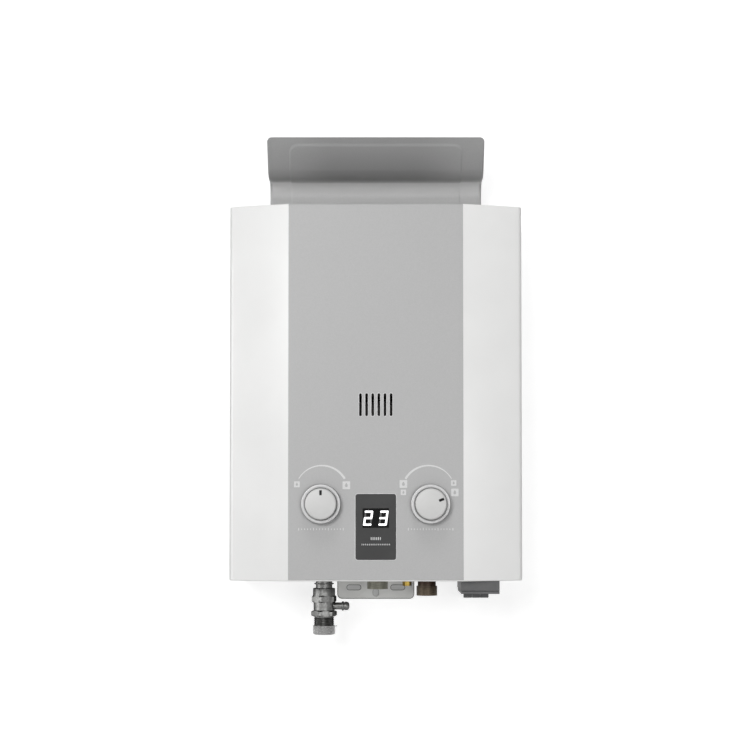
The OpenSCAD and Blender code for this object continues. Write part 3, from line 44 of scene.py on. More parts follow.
# camera
cameraView = {
    "place": (0.0, -1.83, 0.0793),  # eye level with the knobs, 1.7 m in front of the facia
    "tiltUp": 2.0,
    "lens": 83.63,
    "shiftRight": -0.0024,
    "shiftUp": 0.0876,
    "nearest": 0.05,
}


def addCamera(view):
    data = bpy.data.cameras.new("camera")
    data.lens = view["lens"]
    data.shift_x = view["shiftRight"]
    data.shift_y = view["shiftUp"]
    data.clip_start = view["nearest"]
    camera = bpy.data.objects.new("camera", data)
    camera.location = view["place"]
    camera.rotation_euler = (math.radians(90 + view["tiltUp"]), 0, 0)
    bpy.context.collection.objects.link(camera)
    bpy.context.scene.camera = camera


addCamera(cameraView)
bpy.context.scene.view_settings.view_transform = "Standard"
print("camera placed")


# materials
patchSpread = (0.35, 0.65)  # where the noise of a patch turns from one colour to the other
reliefDetail = 2.0
evenly = (1, 1, 1)


def linear(hexColour):
    levels = [int(hexColour[i:i + 2], 16) / 255 for i in (1, 3, 5)]
    return tuple(v / 12.92 if v <= 0.04045 else ((v + 0.055) / 1.055) ** 2.4 for v in levels) + (1.0,)


def addNode(mat, kind, settings, links=()):
    node = mat.node_tree.nodes.new("ShaderNode" + kind)
    for name, value in settings.items():
        if isinstance(name, str) and hasattr(node, name):
            setattr(node, name, value)
        else:
            node.inputs[name].default_value = value
    for source, name in links:
        mat.node_tree.links.new(source, node.inputs[name])
    return node


def shaderOf(mat):
    return mat.node_tree.nodes["Principled BSDF"]


def feed(mat, socket, source):
    mat.node_tree.links.new(source, shaderOf(mat).inputs[socket])


def newMaterial(name, colour, metallic=0.0, sockets=None):
    mat = bpy.data.materials.new(name)
    mat.use_nodes = True
    values = {"Base Color": linear(colour), "Metallic": metallic, **(sockets or {})}
    for socket, value in values.items():
        shaderOf(mat).inputs[socket].default_value = value
    return mat


def objectPlace(mat):
    return addNode(mat, "TexCoord", {}).outputs["Object"]


def perMetre(size):
    return 1000 / size  # texture scale for a feature of that many millimetres


def grain(mat, size, detail, stretch):
    turned = addNode(mat, "Mapping", {"Scale": stretch}, [(objectPlace(mat), "Vector")])
    return addNode(mat, "TexNoise", {"Scale": perMetre(size), "Detail": detail},
                   [(turned.outputs["Vector"], "Vector")]).outputs["Fac"]


def twoColours(mat, factor, colours, spread=(0.0, 1.0)):
    ramp = addNode(mat, "ValToRGB", {}, [(factor, "Fac")])
    for element, place, colour in zip(ramp.color_ramp.elements, spread, colours):
        element.position = place
        element.color = linear(colour)
    feed(mat, "Base Color", ramp.outputs["Color"])


def twoGlosses(mat, factor, rough):
    gloss = addNode(mat, "MapRange", {"To Min": rough[0], "To Max": rough[1]}, [(factor, "Value")])
    feed(mat, "Roughness", gloss.outputs["Result"])


# Fine relief of a given grain and height in millimetres
def relief(mat, size, height, stretch=evenly):
    bump = addNode(mat, "Bump", {"Strength": 1.0, "Distance": height * mm},
                   [(grain(mat, size, reliefDetail, stretch), "Height")])
    feed(mat, "Normal", bump.outputs["Normal"])


# A material that changes a little in soft patches, their size in millimetres; skin is its relief
def surface(name, colour, patch, colours, rough, skin=None, detail=3.0, stretch=evenly, metallic=0.0,
            sockets=None):
    mat = newMaterial(name, colour, metallic, sockets)
    patches = grain(mat, patch, detail, stretch)
    twoColours(mat, patches, colours, patchSpread)
    twoGlosses(mat, patches, rough)
    if skin:
        relief(mat, *skin)
    return mat


def worked(mat, operation, *sources):
    return addNode(mat, "Math", {"operation": operation}, [(s, i) for i, s in enumerate(sources)]).outputs[0]


# A factor from rows of a coordinate, two places in metres and the share at each; the shares multiply
def fade(mat, *rows):
    factor = None
    for coordinate, place, otherPlace, share, otherShare in rows:
        part = addNode(mat, "MapRange", {"interpolation_type": "SMOOTHSTEP", "From Min": place,
                       "From Max": otherPlace, "To Min": share, "To Max": otherShare},
                       [(coordinate, "Value")]).outputs[0]
        if factor is not None:
            part = worked(mat, "MULTIPLY", factor, part)
        factor = part
    return factor


# A second colour over the first, as far as the factor says
def overPaint(mat, colour, factor):
    paint = shaderOf(mat).inputs["Base Color"].links[0].from_socket
    mixed = addNode(mat, "Mix", {"data_type": "RGBA", "B": linear(colour)},
                    [(factor, "Factor"), (paint, "A")])
    feed(mat, "Base Color", mixed.outputs["Result"])


# Stoved white enamel on steel: even gloss with a faint orange peel
whiteEnamel = surface("whiteEnamelStoved", "#F2F2F1", 60, ("#F0F0EF", "#F3F3F2"), (0.27, 0.33), (2.5, 0.004))

# Stoved silver-grey enamel on the facia: softer gloss, metal flakes too fine to see drawn as a 0.8 mm mottle
silverEnamel = surface("silverEnamelStoved", "#B2B2B2", 0.8, ("#B0B0B0", "#B4B4B4"), (0.4, 0.46),
                       (2.5, 0.004), detail=1.0)

# Silver-grey enamel sprayed on the pressed hood: duller than the facia's. Its lip is painted darker as
# painted shade, most at its middle just above the throat, and its throat is painted paler as painted light;
# the lamps alone don't give these tones. The photo shows these tones; heat is a guess.
hoodEnamel = surface("silverEnamelSprayedPaintedShadeAndLight", "#B1B1B1", 0.9, ("#ADADAD", "#B3B3B3"), (0.44, 0.52),
                     (3.0, 0.006), detail=1.0)
spot = addNode(hoodEnamel, "SeparateXYZ", {}, [(objectPlace(hoodEnamel), 0)]).outputs
aside = worked(hoodEnamel, "ABSOLUTE", spot["X"])
# Painted light: the throat paler. Painted shade: the lip darker, most at its middle and low down
throatPaintedLight = fade(hoodEnamel, (spot["Z"], 0.392, 0.407, 0, 1), (spot["Y"], -0.062, -0.05, 0, 1),
                   (spot["Y"], -0.030, -0.0345, 0, 1), (aside, 0.106, 0.1085, 1, 0))
lipPaintedShade = fade(hoodEnamel, (spot["Y"], -0.048, -0.071, 0, 1), (spot["Z"], 0.405, 0.448, 1, 0.56),
                (aside, 0.035, 0.105, 1, 0.66))
overPaint(hoodEnamel, "#DEDEDE", throatPaintedLight)
overPaint(hoodEnamel, "#707070", lipPaintedShade)

# Hot-dip galvanised sheet: spangles of 8 mm in two greys with a dull shine
zincSheet = newMaterial("zincSheetGalvanised", "#D6D6D4", metallic=0.15)
spangle = addNode(zincSheet, "TexVoronoi", {"Scale": perMetre(8)}, [(objectPlace(zincSheet), "Vector")])
twoColours(zincSheet, spangle.outputs["Color"], ("#D2D2D0", "#DADAD8"))
twoGlosses(zincSheet, spangle.outputs["Distance"], (0.4, 0.55))

# Dark lines round the tab's slots and edge: painted shade where those edges cast shadow, a dull dark line
# without spangles, lighter and darker every 3 mm
paintedShadeEdge = surface("zincSheetEdgePaintedShade", "#575756", 3, ("#4F4F4E", "#5F5F5E"), (0.5, 0.6))

# Zinc-plated steel screws: bright, bluish, slightly worn
screwSteel = surface("steelZincPlated", "#C0C3C6", 2, ("#B2B5B8", "#C6C9CC"), (0.22, 0.36), metallic=1.0)

# Copper sheet and tube: warm metal with browner heat stains in 30 mm clouds
copper = surface("copperRolledHeatStained", "#BE7A50", 30, ("#8F5335", "#C98459"), (0.28, 0.5), (1.5, 0.01),
                 detail=5.0, metallic=1.0)

# Copper dipped in tin: dull grey with a warm tint where the coat is thin, in 25 mm clouds
tinnedCopper = surface("copperTinDipped", "#8F8C88", 25, ("#7C756F", "#A19F9B"), (0.38, 0.55), (1.5, 0.01),
                       detail=5.0, metallic=0.9)

# Stainless sheet: brushed along its length, grain 0.3 mm drawn at 0.6 mm
brushed = (1, 0.03, 1)
stainless = surface("stainlessBrushed", "#B6B4AF", 0.6, ("#ADABA6", "#BDBBB6"), (0.26, 0.4),
                    (0.6, 0.004, brushed), stretch=brushed, metallic=1.0)

# Die-cast zinc: dull olive grey with a cast skin of 1.2 mm grain
dieCast = surface("zincDieCast", "#7A7A6F", 6, ("#6E6D61", "#848478"), (0.42, 0.6), (1.2, 0.03), detail=5.0,
                  metallic=0.4)

# Turned brass: yellow and bright, with fine tool marks
turnedBrass = surface("brassTurned", "#8F7A3A", 4, ("#7F692C", "#9C8544"), (0.26, 0.4),
                      (0.5, 0.006, (0.1, 0.1, 1)), metallic=1.0)

# Forged brass left raw: brown tarnish over the yellow, with painted shade, dark red-brown, up by the casing
rawBrass = surface("brassForgedTarnishedAndPaintedShade", "#4B4034", 5, ("#3A2F21", "#5B5040"), (0.36, 0.55), (1.4, 0.03),
                   detail=5.0, metallic=0.5)
spot = addNode(rawBrass, "SeparateXYZ", {}, [(objectPlace(rawBrass), 0)]).outputs
# Painted shade: darker towards the top, where the casing shades the fittings
overPaint(rawBrass, "#2E1A0D", fade(rawBrass, (spot["Z"], -0.011, -0.003, 0, 1)))

# Sheet metal by the flames, seen through the slots: painted dark brown-grey, as painted shade inside the
# casing
paintedShadeSheet = surface("sheetMetalDarkPaintedShade", "#2A2826", 12, ("#211F1D", "#343130"), (0.5, 0.65), (1.5, 0.01),
                      detail=5.0, metallic=0.3)

# Nickel-plated brass fittings: grey metal, tumbled, darker in the hollows and where the surface turns away
nickelPlate = surface("nickelPlatedBrassTumbled", "#6C6C6B", 2.5, ("#5F5F5E", "#797978"), (0.32, 0.44),
                      (1.2, 0.008), detail=4.0, metallic=1.0, sockets={"Specular Tint": linear("#5A5A5A")})

# Natural polythene: milky, lets some light through, moulded with a soft sheen
polythene = surface("polytheneMoulded", "#D9D9D8", 5, ("#D4D4D3", "#DEDEDD"), (0.2, 0.3),
                    sockets={"IOR": 1.51, "Transmission Weight": 0.7})

# Grey ABS of the battery and control boxes: spark-eroded mould skin of 0.6 mm grain
greyAbs = surface("absGreyMoulded", "#4D4D4E", 8, ("#49494A", "#515152"), (0.42, 0.52), (0.6, 0.02))

# Black nylon of the switches and the coil bobbin: dull, with a mould skin of 0.6 mm grain
blackNylon = surface("nylonBlackMoulded", "#1B1B1D", 6, ("#171719", "#202022"), (0.38, 0.5), (0.6, 0.015))

# Glass-epoxy circuit board: green lacquer over 2.5 mm copper tracks
greenBoard = newMaterial("glassEpoxyLacquered", "#1E5B34", sockets={"Roughness": 0.32})
tracks = addNode(greenBoard, "TexBrick", {"Scale": perMetre(10), "Mortar Size": 0.03,
                 "Color1": linear("#1C5530"), "Color2": linear("#215F38"), "Mortar": linear("#3E7C4A")},
                 [(objectPlace(greenBoard), "Vector")])
feed(greenBoard, "Base Color", tracks.outputs["Color"])

# Alumina insulators: white glaze with a few grey specks
whiteCeramic = surface("aluminaGlazed", "#EDEBE4", 3, ("#E4E2DA", "#F1EFE9"), (0.14, 0.24))

# Vinyl-covered leads and the switch button: dark red with a waxy shine
redVinyl = surface("vinylExtruded", "#8C2B24", 10, ("#7F261F", "#97322A"), (0.34, 0.46))

# Nitrile diaphragm: black rubber with a moulded bloom
blackRubber = surface("nitrileMoulded", "#1D1D1D", 12, ("#191919", "#282828"), (0.6, 0.78))

# Dry cells: printed steel cans in a plain blue
cellCan = surface("steelCanPrinted", "#33557F", 14, ("#2E4E76", "#395D8A"), (0.24, 0.34), metallic=0.3)

# Display plate: back-printed acrylic, dark grey with a satin face
displayPlate = surface("acrylicPrintedDark", "#3A3A3A", 25, ("#383838", "#3D3D3D"), (0.36, 0.44),
                       (0.7, 0.004), sockets={"Specular IOR Level": 0.2})

# Display window: smoked acrylic, nearly black with a clear gloss
smokedAcrylic = surface("acrylicSmoked", "#08080A", 8, ("#060607", "#0B0B0C"), (0.1, 0.18),
                        sockets={"Specular IOR Level": 0.1})

# Lit segments: white light behind a milky lens
litLens = surface("lensMilkyLit", "#FFFFFF", 3, ("#FAFAFA", "#FFFFFF"), (0.3, 0.4),
                  sockets={"Emission Strength": 1.0, "Emission Color": linear("#FBFCFF")})

# Segments that aren't lit: the same lens, dark grey
darkLens = surface("lensMilkyDark", "#3A3A3A", 1.2, ("#2A2A2A", "#484848"), (0.3, 0.45))

# Screen-printed light grey ink on the facia and the display: flat and dull
paleInk = surface("inkScreenPrintedPale", "#DADADA", 1.0, ("#D4D4D4", "#DFDFDF"), (0.45, 0.6))

# Black enamel of the knobs' pointers: deep black with little shine
blackFill = surface("enamelBlackFilled", "#060606", 1.5, ("#040404", "#0A0A0A"), (0.4, 0.5),
                    sockets={"Specular IOR Level": 0.15})

# Light lines round the display and the slots: the facia's pressed edge, painted paler as a painted highlight
brightEdge = surface("enamelEdgePaintedHighlight", "#D2D2D2", 3, ("#CBCBCB", "#D8D8D8"), (0.3, 0.4))

# Satin-chromed plastic rim of the knobs: pale, with a soft gloss
chromeRim = surface("plasticSatinChromed", "#BDBDBD", 6, ("#B8B8B8", "#C2C2C2"), (0.3, 0.38), metallic=0.15)

# The same plating on the rim's grip, painted dark as painted shade, for the dark line round each knob
gripChrome = surface("plasticSatinChromedPaintedShade", "#6E6E6E", 1.0, ("#5E5E5E", "#7C7C7C"), (0.34, 0.46),
                     metallic=0.35)

# Spun aluminium face of the knobs: pale grey, its shine in rings 0.5 mm apart, coarser than the real marks
spunFace = newMaterial("aluminiumSpun", "#C0C0BF", metallic=0.15)
flat = addNode(spunFace, "VectorMath", {"operation": "MULTIPLY", 1: (1, 0, 1)}, [(objectPlace(spunFace), 0)])
radius = addNode(spunFace, "VectorMath", {"operation": "LENGTH"}, [(flat.outputs["Vector"], 0)])
rings = addNode(spunFace, "TexNoise", {"noise_dimensions": "1D", "Scale": perMetre(0.5), "Detail": 1.0},
                [(radius.outputs["Value"], "W")])
twoGlosses(spunFace, rings.outputs["Fac"], (0.42, 0.52))
print("materials made:", len(bpy.data.materials))


# mesh helpers; sizes in millimetres
weldGap = 0.002


def finishPiece(name, bm, mat, slotName, nodes=(), place=(0, 0, 0), sharp=35, sheet=0.0, body="casing"):
    bmesh.ops.remove_doubles(bm, verts=bm.verts, dist=weldGap)
    bmesh.ops.scale(bm, vec=(mm, mm, mm), verts=bm.verts)
    mesh = bpy.data.meshes.new(name)
    rounded = [face.smooth for face in bm.faces]
    rims = [edge.is_boundary for edge in bm.edges]
    bm.to_mesh(mesh)
    bm.free()
    mesh.set_sharp_from_angle(angle=math.radians(sharp))
    for edge, rim in zip(mesh.edges, rims):
        if rim:
            edge.use_edge_sharp = True
    mesh.polygons.foreach_set("use_smooth", rounded)  # marking sharp edges smooths the flat faces too
    mesh.materials.append(mat)
    piece = bpy.data.objects.new(name, mesh)
    piece.location = Vector(place) * mm
    bpy.context.collection.objects.link(piece)
    if sheet:
        solid = piece.modifiers.new("sheet", "SOLIDIFY")
        solid.thickness = sheet * mm
        solid.offset = -1
    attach(piece, body)
    if nodes:
        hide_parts(*nodes)
    return piece


def turnOutwards(bm):
    bmesh.ops.recalc_face_normals(bm, faces=bm.faces)


def faceTowards(faces, direction):
    for face in faces:
        face.normal_update()
        if face.normal.dot(Vector(direction)) < 0:
            face.normal_flip()


def addGrid(bm, rows, skip=None):
    verts = [[bm.verts.new(p) for p in row] for row in rows]
    faces = []
    for i in range(len(rows) - 1):
        for k in range(len(rows[0]) - 1):
            if skip is None or not skip(i, k):
                near, far = verts[i], verts[i + 1]
                faces.append(bm.faces.new((near[k], near[k + 1], far[k + 1], far[k])))
                faces[-1].smooth = True
    return faces


# A flat panel with holes; place turns a point of its outline into a point in space
def addPanel(bm, loops, place, direction):
    corners = [[Vector((x, y, 0)) for x, y in loop] for loop in loops]
    verts = [bm.verts.new(place(p.x, p.y)) for loop in corners for p in loop]
    faces = [bm.faces.new([verts[i] for i in triangle]) for triangle in tessellate_polygon(corners)]
    faceTowards(faces, direction)


def arcPoints(cx, cy, radius, start, end, steps):
    angles = [math.radians(start + (end - start) * i / steps) for i in range(steps + 1)]
    return [(cx + radius * math.cos(a), cy + radius * math.sin(a)) for a in angles]


def rectangle(half, low, high):
    return [(-half, low), (half, low), (half, high), (-half, high)]


# Inset and depth along a rounded edge, from its outer end
def quarterTurn(radius, steps):
    angles = [math.pi / 2 * i / steps for i in range(steps + 1)]
    return [(radius * (1 - math.sin(a)), radius * (1 - math.cos(a))) for a in angles]


# Places along a row, with its middle at 0
def evenRow(count, pitch):
    return [(i - (count - 1) / 2) * pitch for i in range(count)]


def roundRect(cx, cy, width, height, radius, steps=6):
    points = []
    for sx, sy, start in ((1, 1, 0), (-1, 1, 90), (-1, -1, 180), (1, -1, 270)):
        points += arcPoints(cx + sx * (width / 2 - radius), cy + sy * (height / 2 - radius), radius,
                            start, start + 90, steps)
    return points


# A raised plate with the given outline in x and z, its front at a depth in y, or as place turns them
def addPlate(bm, outline, depth, thick=0.3, place=lambda x, y, z: (x, y, z)):
    front = [bm.verts.new(place(x, depth, z)) for x, z in outline]
    rear = [bm.verts.new(place(x, depth + thick, z)) for x, z in outline]
    bm.faces.new(front)
    bm.faces.new(rear)
    for i in range(len(outline)):
        bm.faces.new((front[i], front[i - 1], rear[i - 1], rear[i]))


# Outwards and upwards along a bead, in shares of its width and height
beadProfile = ((1, -0.2), (0.7, 0.8), (0.3, 1), (-0.06, 0.6), (-0.06, -0.8))


# A thin raised bead round an opening or an edge, on a face at the depth front
def addBead(bm, front, cx, cz, width, height, corner, wide, proud):
    rows = []
    for out, up in beadProfile:
        grow = wide * out
        loop = roundRect(cx, cz, width + 2 * grow, height + 2 * grow, corner + grow, 8)
        rows.append([(x, front - up * proud, z) for x, z in loop + loop[:1]])
    addGrid(bm, rows + rows[:1])


# A turned form about +Z from (radius, height) pairs; flats gives it a hexagon where a pair is wide enough
def turnedForm(profile, flats=None, turn=0.0, segments=96, closed=False):
    sixth = math.pi / 3
    bm = bmesh.new()
    rows = []
    for radius, height in profile + profile[:1] * closed:
        row = []
        for k in range(segments + 1):
            a = 2 * math.pi * k / segments
            r = radius
            if flats:
                r = min(radius, flats / 2 / math.cos((a - math.radians(turn)) % sixth - sixth / 2))
            row.append((r * math.cos(a), r * math.sin(a), height))
        rows.append(row)
    addGrid(bm, rows)
    bmesh.ops.remove_doubles(bm, verts=bm.verts, dist=weldGap)
    turnOutwards(bm)
    return bm


# A pipe thread of triangular ridges with a bore, closed all round; its ends run out to a share of the ridge
def threadForm(outer, depth, low, high, pitch, bore, segments=72, steps=8, runOut=0.2):
    bm = bmesh.new()
    count = round((high - low) / pitch * steps)
    rows = [[(x, y, low) for x, y in arcPoints(0, 0, bore, 0, 360, segments)]]
    for i in range(count + 1):
        z = low + (high - low) * i / count
        row = []
        for k in range(segments + 1):
            a = 2 * math.pi * k / segments
            ridge = abs(2 * ((z / pitch - k / segments) % 1) - 1)
            end = min(1, (z - low) / pitch, (high - z) / pitch)
            r = outer - depth * (1 - ridge * max(end, runOut))
            row.append((r * math.cos(a), r * math.sin(a), z))
        rows.append(row)
    rows.append([(x, y, high) for x, y, z in rows[0]])
    addGrid(bm, rows + rows[:1])
    bmesh.ops.remove_doubles(bm, verts=bm.verts, dist=weldGap)
    turnOutwards(bm)
    return bm


# Moves the contents of one mesh into another, shifted
def joinForm(bm, other, shift=(0, 0, 0), turnMatrix=Matrix.Identity(3)):
    verts = {v: bm.verts.new(turnMatrix @ v.co + Vector(shift)) for v in other.verts}
    for face in other.faces:
        bm.faces.new([verts[v] for v in face.verts]).smooth = face.smooth
    other.free()


towardsFront = Matrix.Rotation(math.radians(90), 3, "X")  # +Z of a turned form becomes -Y
towardsRight = Matrix.Rotation(math.radians(90), 3, "Y")  # +Z of a turned form becomes +X


# front cover
cover = {
    "width": 290, "depth": 129.2, "height": 371, "bow": 19, "faciaWidth": 171.4,
    "bend": 6, "leastBend": 0.3, "edge": 1.2, "sheet": 1.0, "rear": -2, "lip": 16, "lipFront": -110,
    "throat": (108.5, -35, -4), "holeGap": 0.3, "heart": (0, -60, 185),
}
openings = {
    "spindles": (53.6, 75.6, 14.6), "spindleSides": 24, "display": (0, 53.2, 40.3, 65.0, 2.0),
    "slotCount": 6, "slotPitch": 6.0, "slotWidth": 2.7, "slotHeight": 22.4, "slotMiddle": 172.8,
    "slotFlat": 0.01,  # keeps a short straight between a slot's corners
}


def coverPlan(inset):
    half = cover["width"] / 2
    inner = cover["faciaWidth"] / 2
    fall = math.atan2(cover["bow"], half - inner)
    radius = max(cover["bend"] - inset, cover["leastBend"])
    reach = inset + radius
    cx = -half + reach
    cy = -(cover["depth"] - cover["bow"]) + reach * (1 - math.sin(fall)) / math.cos(fall)
    left = [(-half + inset, cover["rear"])]
    left += arcPoints(cx, cy, radius, 180, 270 - math.degrees(fall), 12)
    left += [(-inner + inset * math.tan(fall / 2), -cover["depth"] + inset)]
    return left + [(-x, y) for x, y in reversed(left)]


def frontHoles(gap):
    x, z, size = openings["spindles"]
    sides = openings["spindleSides"]
    holes = [arcPoints(side * x, z, size / 2 + gap, 0, 360 - 360 / sides, sides - 1) for side in (-1, 1)]
    cx, cz, wide, high, corner = openings["display"]
    holes.append(roundRect(cx, cz, wide + 2 * gap, high + 2 * gap, corner + gap))
    wide, high = openings["slotWidth"] + 2 * gap, openings["slotHeight"] + 2 * gap
    for at in evenRow(openings["slotCount"], openings["slotPitch"]):
        holes.append(roundRect(at, openings["slotMiddle"], wide, high, wide / 2 - openings["slotFlat"]))
    return holes


def makeCover():
    edge = cover["edge"]
    turns = quarterTurn(edge, 6)
    levels = turns + [(inset, cover["height"] - z) for inset, z in reversed(turns)]
    rows = [[(x, y, z) for x, y in coverPlan(inset)] for inset, z in levels]
    flatRow = len(turns) - 1
    middle = len(rows[0]) // 2 - 1
    bm = bmesh.new()
    skin = addGrid(bm, rows, lambda i, k: i == flatRow and k == middle)
    outward = skin[len(skin) // 2]
    outward.normal_update()
    if outward.normal.dot(outward.calc_center_median() - Vector(cover["heart"])) < 0:
        for face in skin:
            face.normal_flip()
    inner = cover["faciaWidth"] / 2
    high = cover["height"] - edge
    front = rectangle(inner, edge, high)
    addPanel(bm, [front] + frontHoles(cover["holeGap"]), lambda x, z: (x, -cover["depth"], z), (0, -1, 0))
    top = [coverPlan(edge), rectangle(*cover["throat"])]
    addPanel(bm, top, lambda x, y: (x, y, cover["height"]), (0, 0, 1))
    lip = [[(x, y, 0) for x, y in coverPlan(edge)],
           [(x, max(y, cover["lipFront"]), 0) for x, y in coverPlan(cover["lip"])]]
    faceTowards(addGrid(bm, lip), (0, 0, -1))
    finishPiece("frontCover", bm, whiteEnamel, "white_paint", ["front_cover"], sheet=cover["sheet"])


makeCover()
print("front cover made")


# facia
facia = {"front": -130, "sheet": 0.8, "edge": 2.0, "low": 1.3, "lowEdge": 0.4, "bead": 0.7, "beadProud": 0.25}


def makeFacia():
    edge = facia["edge"]
    half = cover["faciaWidth"] / 2
    high = cover["height"]
    bm = bmesh.new()
    low, lowEdge = facia["low"], facia["lowEdge"]
    front = rectangle(half, low + lowEdge, high - edge)
    addPanel(bm, [front] + frontHoles(0), lambda x, z: (x, facia["front"], z), (0, -1, 0))
    for end, radius, up in ((low, lowEdge, -1), (high, edge, 1)):
        rows = [[(x, facia["front"] + back, end - up * inset) for x in (-half, half)]
                for inset, back in quarterTurn(radius, 6)]
        faceTowards(addGrid(bm, rows), (0, -1, up))
    finishPiece("faciaPanel", bm, silverEnamel, "silver_paint", ["facia"], sheet=facia["sheet"])
    bm = bmesh.new()
    wide, high = openings["slotWidth"], openings["slotHeight"]
    for at in evenRow(openings["slotCount"], openings["slotPitch"]):
        addBead(bm, facia["front"], at, openings["slotMiddle"], wide, high,
                wide / 2 - openings["slotFlat"], facia["bead"], facia["beadProud"])
    turnOutwards(bm)
    finishPiece("slotBeads", bm, brightEdge, "silver_paint")


makeFacia()
print("facia made")


# wall tab: raised lines round its slots and its edge, painted dark as painted shade; a row is middle, size,
# corner and width of line
wallTab = {
    "front": -1.2, "proud": 0.25,
    "shadeLines": (
        (-23, -12.2, 14.4, 4.9, 2.44, 0.6), (23, -12.2, 14.4, 4.9, 2.44, 0.6),
        (0, -17.4, 5.9, 8, 2.94, 0.3), (0, -13.1, 79.4, 20.6, 4.2, 0.6),
    ),
}


def makeShadeLines():
    bm = bmesh.new()
    for cx, cz, width, height, corner, wide in wallTab["shadeLines"]:
        addBead(bm, wallTab["front"], cx, cz, width, height, corner, wide, wallTab["proud"])
    turnOutwards(bm)
    finishPiece("tabShadeLines", bm, paintedShadeEdge, "galvanised")


makeShadeLines()
print("wall tab edged")


# flue hood
hood = {
    "width": 219, "foot": (-37, 371), "throat": (-34, 406), "lip": (-93.5, 444), "lean": 28, "nose": 18,
    "throatBend": 12, "sag": 0.15, "sideBend": 2.5, "lipCorner": 5, "sideTop": 436,
    "back": -4, "flange": 8, "flangeRear": 1, "holeNear": 2, "sheet": 1.0,
    "fieldWidth": 174, "fieldDrop": 7.6, "fieldHeight": 0.7, "fieldCorner": 9, "fieldEdge": 1.8,
    # steps along foot, bend, floor, nose and lip, then columns across, with their step and range where finer
    "steps": (10, 10, 6, 20, 24), "columns": 60, "fieldColumns": (0.4, -24, 6), "sideColumns": (0.25, 0, 22),
}


# The hood's front from foot to lip: points in y and z, the outward directions and the distances to the lip
def hoodCurve():
    footSteps, bendSteps, floorSteps, noseSteps, lipSteps = hood["steps"]
    foot, throat, lip = (Vector(hood[k]) for k in ("foot", "throat", "lip"))
    rise = (throat - foot).normalized()
    half = math.acos(rise.x) / 2
    back = hood["throatBend"] / math.tan(half)
    points = [foot.lerp(throat - rise * back, i / footSteps) for i in range(footSteps + 1)]
    middle = throat + (Vector((-1, 0)) - rise).normalized() * hood["throatBend"] / math.sin(half)
    start = points[-1] - middle
    end = throat + Vector((-back, 0)) - middle
    sweep = math.atan2(start.x * end.y - start.y * end.x, start.dot(end))
    points += [middle + Matrix.Rotation(sweep * i / bendSteps, 2) @ start for i in range(1, bendSteps + 1)]
    lean = math.radians(hood["lean"])
    lipHeight = lip.y - throat.y - hood["nose"] * (1 - math.sin(lean))
    noseStart = Vector((lip.x + hood["nose"] * math.cos(lean) + lipHeight * math.tan(lean), throat.y))
    last = points[-1]
    for i in range(1, floorSteps + 1):
        sag = Vector((0, hood["sag"] * math.sin(math.pi * i / floorSteps)))
        points.append(last.lerp(noseStart, i / floorSteps) - sag)
    centre = noseStart + Vector((0, hood["nose"]))
    turn = [math.radians(270 - (90 - hood["lean"]) * i / noseSteps) for i in range(1, noseSteps + 1)]
    points += [centre + hood["nose"] * Vector((math.cos(a), math.sin(a))) for a in turn]
    top = points[-1]
    points += [top.lerp(lip, i / lipSteps) for i in range(1, lipSteps + 1)]
    normals = []
    for i in range(len(points)):
        along = (points[min(i + 1, len(points) - 1)] - points[max(i - 1, 0)]).normalized()
        normals.append(Vector((-along.y, along.x)))
    left = [0.0]
    for i in range(len(points) - 1, 0, -1):
        left.insert(0, left[0] + (points[i] - points[i - 1]).length)
    return points, normals, left


